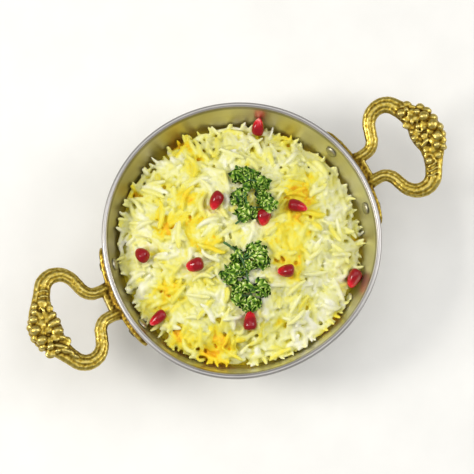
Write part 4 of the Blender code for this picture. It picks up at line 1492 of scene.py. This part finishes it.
def spun_steel():
    """Tinned sheet steel, spun on a lathe: softly blurred reflections, drawn out into
    fine rings by the tool, with faint cloudy patches where the tin has dulled. The inner wall has
    painted light and shade: lightest on one side, darker and yellowed on the other."""
    material, tree, place = start_material("spun_tinned_steel", {"Metallic": 1.0})
    x, y, z = add_node(tree, "ShaderNodeSeparateXYZ", None, {0: place}).outputs
    squares = [maths(tree, "MULTIPLY", part, part) for part in (x, y)]
    radius = maths(tree, "SQRT", maths(tree, "ADD", *squares))
    around = maths(tree, "ARCTAN2", y, x)
    # Real tool marks are 0.1 mm apart, too fine to show, so these are wider. They run 40 times
    # longer than wide, so the angle counts for little.
    rings = add_node(tree, "ShaderNodeCombineXYZ", None,
                     {0: radius, 1: maths(tree, "MULTIPLY", around, RING_RUN), 2: z})
    marks = noise(tree, rings.outputs[0], TOOL_MARKS, 3.0, Roughness=0.6)
    clouds = noise(tree, place, DULLED_TIN, 4.0)
    tone = add_node(tree, "ShaderNodeMix", {"data_type": "FLOAT"},
                    {0: 0.35, 2: clouds, 3: marks}).outputs[0]
    colour = ramped(tree, tone, ((0.30, "DBD9D0"), (0.70, "F0EEE6")))

    def multiplied(share, first, second):
        return add_node(tree, "ShaderNodeMix", {"data_type": "RGBA", "blend_type": "MULTIPLY"},
                        {0: share, 6: first, 7: second}).outputs[2]

    # Painted light and shade on the inner wall: lightest on one side, as if lit there, and darker
    # and yellowed on the other, painted shade with a painted reflection of the rice.
    lit_side_share = maths(tree, "COSINE", maths(tree, "SUBTRACT", around, LIT_SIDE))
    painted_side_light = add_node(tree, "ShaderNodeMix", {"data_type": "RGBA"},
                         {0: mapped(tree, lit_side_share, 0.0, 1.0, -0.8, 0.8), 6: hex_colour("D6CFB2"),
                          7: hex_colour("FFFDF0")}).outputs[2]
    colour = multiplied(painted(tree, "inner"), colour, painted_side_light)
    # The rolled rim is painted darker and greyer than the sheet below it.
    rolled = mapped(tree, z, 0.0, 1.0, 39.4 * MM, 40.6 * MM)
    colour = multiplied(rolled, colour, hex_colour("C2C0C4"))
    return finish_material(material, colour, mapped(tree, tone, 0.32, 0.42),
                           (marks, 0.22, 0.05 * MM))


def bright_rivet():
    """Turned mild-steel rivets: darker than the wall, with scuffed tone all over."""
    material, tree, place = start_material("bright_steel_rivet", {"Metallic": 1.0})
    scuffs = noise(tree, place, 0.8 * MM, 4.0)
    # Painted reflection: the khaki tint stands for the yellow rice the wall reflects; the grey and
    # the scuffs are the rivets' own.
    return finish_material(material, ramped(tree, scuffs, ((0.35, "9A9680"), (0.65, "BAB69E"))),
                           mapped(tree, scuffs, 0.36, 0.48), (scuffs, 0.2, 0.05 * MM))


def cast_brass():
    """Sand-cast yellow brass, wire-brushed and handled: the high places are rubbed bright, brown
    tarnish and polish stay in the hollows, and the skin is finely pitted. The strap is painted
    darker, as painted shade."""
    material, tree, place = start_material("sand_cast_brass", {"Metallic": 1.0})
    tarnish = mapped(tree, noise(tree, place, 1.5 * MM, 5.0), -0.20, 0.16)
    pits = noise(tree, place, 0.7 * MM, 3.0, Roughness=0.65)
    # hollow holds the tarnish of the hollows and, on the strap, painted shade.
    depth = maths(tree, "ADD", painted(tree, "hollow"), tarnish)
    colour = ramped(tree, depth, ((0.20, "C8B568"), (0.42, "AE973E"), (0.56, "937828"),
                                  (0.74, "6A511A"), (0.95, "453310")))
    return finish_material(material, colour, mapped(tree, depth, 0.31, 0.55, 0.3, 0.8),
                           (pits, 0.35, 0.10 * MM))


def steamed_rice():
    """Steamed basmati: milky, slightly see-through starch, moist enough for a soft sheen, with
    saffron water soaked in unevenly along each grain, and painted shade as deeper yellow in the
    hollows."""
    material, tree, place = start_material("steamed_rice", {
        "Subsurface Weight": 0.7, "Subsurface Radius": (0.8, 0.8, 1.0),
        "Subsurface Scale": 1.4 * MM, "IOR": 1.40, "Specular IOR Level": 0.35})
    soak = mapped(tree, noise(tree, place, 7 * MM, 2.0), -0.15, 0.15)
    mottle = noise(tree, place, 1.5 * MM, 3.0)
    # The stain attribute holds the saffron stain and, in the hollows, painted shade as deeper
    # yellow.
    stain_and_hollow_shade = maths(tree, "ADD", painted(tree, "stain"), soak)
    stain_and_hollow_shade = maths(tree, "ADD", stain_and_hollow_shade, mapped(tree, mottle, -0.07, 0.07))
    colour = ramped(tree, stain_and_hollow_shade, ((0.0, "E6E5D2"), (0.28, "E0DFA4"), (0.55, "DED96E"),
                                (0.75, "E0D23E"), (0.90, "E4CA26"), (1.0, "E2B01C")))
    return finish_material(material, colour, mapped(tree, mottle, 0.46, 0.60),
                           (mottle, 0.25, 0.12 * MM))


def ripe_aril():
    """A ripe pomegranate aril: a taut, juicy crimson skin over clear pulp, so it is wet-bright
    and lit from within, and paler at the tip where it was joined to the pith."""
    material, tree, place = start_material("pomegranate_skin", {
        "Subsurface Weight": 0.2, "Subsurface Radius": (1.0, 0.12, 0.10),
        "Subsurface Scale": 2.0 * MM, "IOR": 1.42, "Coat Weight": 0.5, "Coat Roughness": 0.04,
        "Specular IOR Level": 0.2})
    pulp = noise(tree, place, 2 * MM, 3.0)
    depth = maths(tree, "ADD", painted(tree, "tip"), mapped(tree, pulp, -0.22, 0.22))
    colour = ramped(tree, depth, ((0.0, "8C0310"), (0.45, "BC081C"), (0.75, "D8182E"),
                                  (0.93, "E85A62"), (1.0, "F0A098")))
    return finish_material(material, colour, mapped(tree, pulp, 0.16, 0.30),
                           (pulp, 0.12, 0.15 * MM))


def parsley_leaf():
    """Curly parsley: deep green blades with a waxy sheen, and thinner, paler curled edges; the
    rising folds and upper curls are painted lighter and the sinking folds and lower curls darker,
    as painted highlight and painted shade.
    """
    material, tree, place = start_material("parsley_leaf", {
        "Subsurface Weight": 0.15, "Subsurface Radius": (0.7, 1.0, 0.3),
        "Subsurface Scale": 0.5 * MM, "IOR": 1.40, "Specular IOR Level": 0.3})
    blotch = noise(tree, place, 1.2 * MM, 3.0)
    edge_light_and_shade = maths(tree, "ADD", painted(tree, "edge"), mapped(tree, blotch, -0.12, 0.12))
    # The curl's tint: painted shade on the lower curls, and random tone.
    own = mapped(tree, painted(tree, "layer_shade_and_tone"), -0.34, 0.14, 0.0, 1.0)
    colour = ramped(tree, maths(tree, "ADD", edge_light_and_shade, own),
                    ((0.02, "0E2402"), (0.26, "34600A"), (0.50, "78A02A"), (0.76, "BED668"),
                     (0.96, "ECF6AC")))
    return finish_material(material, colour, mapped(tree, blotch, 0.32, 0.50),
                           (blotch, 0.3, 0.10 * MM))


def parsley_stalk():
    """The same plant's ribbed stalk: smooth, dark green, a little paler in streaks."""
    material, tree, place = start_material("parsley_stalk", {
        "Subsurface Weight": 0.1, "Subsurface Scale": 0.6 * MM, "IOR": 1.45})
    streak = noise(tree, place, 0.9 * MM, 2.0)
    return finish_material(material, ramped(tree, streak, ((0.35, "24491F"), (0.70, "4C7A38"))),
                           mapped(tree, streak, 0.30, 0.45, 0.0, 1.0), (streak, 0.25, 0.08 * MM))


def matt_board():
    """Pale matt card, faintly mottled."""
    material, tree, place = start_material("matt_card", {"Roughness": 0.9})
    fibre = noise(tree, place, 30 * MM, 4.0)
    return finish_material(material, ramped(tree, fibre, ((0.3, "E6E5E2"), (0.7, "EBEAE7"))))


# ---------------------------------------------------------------- the studio
VIEW_TURN = math.radians(-27.85)    # the camera's turn about the pan, and its climb
VIEW_CLIMB = math.radians(81.0)
IMAGE_RIGHT = Vector((math.cos(VIEW_TURN), math.sin(VIEW_TURN), 0.0))
IMAGE_AWAY = Vector((-math.sin(VIEW_TURN), math.cos(VIEW_TURN), 0.0))
CAMERA_AWAY = 2.5
VIEW_WIDTH = 236.8 * MM             # at the rim's height
SENSOR = 36.0                       # mm
AIM_OFFSET = (-1.9 * MM, 1.15 * MM)  # of the view's middle from the rim's: right, and up


def join_scene(thing):
    bpy.context.scene.collection.objects.link(thing)
    return thing


def make_camera():
    """A long lens, some way off, framed to the whole dish."""
    back = -IMAGE_AWAY * math.cos(VIEW_CLIMB) + Vector((0, 0, math.sin(VIEW_CLIMB)))
    up = back.cross(IMAGE_RIGHT)
    aim = Vector((0, 0, BOWL_HEIGHT)) + IMAGE_RIGHT * AIM_OFFSET[0] + up * AIM_OFFSET[1]
    lens = bpy.data.cameras.new("studio_camera")
    lens.sensor_width = SENSOR
    lens.lens = SENSOR * CAMERA_AWAY / VIEW_WIDTH
    lens.clip_start = 0.05
    lens.clip_end = 20.0
    camera = join_scene(bpy.data.objects.new("studio_camera", lens))
    camera.matrix_world = Matrix.Translation(aim + back * CAMERA_AWAY) @ Matrix(
        (IMAGE_RIGHT, up, back)).transposed().to_4x4()
    bpy.context.scene.camera = camera


def add_softbox(name, place, size, power, colour):
    """A square soft light that faces the pan."""
    light = bpy.data.lights.new(name, "AREA")
    light.shape = "SQUARE"
    light.size = size
    light.energy = power
    light.color = hex_colour(colour)[:3]
    lamp = join_scene(bpy.data.objects.new(name, light))
    lamp.location = place
    aim = Vector((0, 0, 0.03)) - Vector(place)
    lamp.rotation_euler = aim.to_track_quat("-Z", "Y").to_euler()


def make_studio():
    floor = object_from_points("studio_floor", [(-3, -3, 0), (3, -3, 0), (3, 3, 0), (-3, 3, 0)],
                               [(0, 1, 2, 3)])
    floor.location.z = -0.0002
    floor.data.materials.append(matt_board())
    side = IMAGE_RIGHT
    away = IMAGE_AWAY
    add_softbox("key", -side * 0.74 - away * 0.05 + Vector((0, 0, 0.66)), 0.30, 5.4, "FFFCF5")
    add_softbox("fill", side * 0.86 + away * 0.12 + Vector((0, 0, 0.72)), 0.6, 4.4, "FFFFFF")
    add_softbox("top", away * 0.15 + Vector((0, 0, 1.2)), 1.1, 4.8, "FFFFFF")
    world = bpy.data.worlds.new("studio_air")
    world.use_nodes = True
    sky = world.node_tree.nodes["Background"]
    sky.inputs["Color"].default_value = hex_colour("F2F2F0")
    sky.inputs["Strength"].default_value = 0.50
    bpy.context.scene.world = world
    bpy.context.scene.view_settings.view_transform = "Standard"


def main():
    make_camera()
    make_studio()
    turning, scattering, stalks = turning_tree(), scattering_tree(), stalk_tree()
    make_pan(turning, spun_steel())
    make_rivets(turning, scattering, bright_rivet())
    brass = cast_brass()
    for side, angle in HANDLE_ANGLES.items():
        make_handle(side, angle, brass)
    heap = Heap(21, aril_ceilings())
    heap.fill(tries=3000, bearing=0.3, sink=3.0, above=-0.9 * MM)
    heap.cover(tries=2500)
    heap.fill(tries=6000, bearing=0.6, sink=0.65, above=0.3 * MM)
    heap.lean_on_wall(count=150)
    print("grains laid:", len(heap.grains))
    grains = shape_collection("grain_forms", [
        grain_form(f"grain_{k:02d}", *kind) for k, kind in enumerate(GRAIN_KINDS)])
    make_rice(heap, make_bed(), scattering, grains, steamed_rice())
    make_arils(ripe_aril())
    curls = shape_collection("curl_forms", [
        curl_form(f"curl_{k}", *kind) for k, kind in enumerate(CURL_KINDS)])
    leaf, stalk = parsley_leaf(), parsley_stalk()
    chance = np.random.default_rng(3)
    for name, (lobes, stem) in SPRIGS.items():
        make_leaves(name, scattering, curls, leaf, chance)
        make_stems(name, lobes, stem, stalks, stalk)


main()
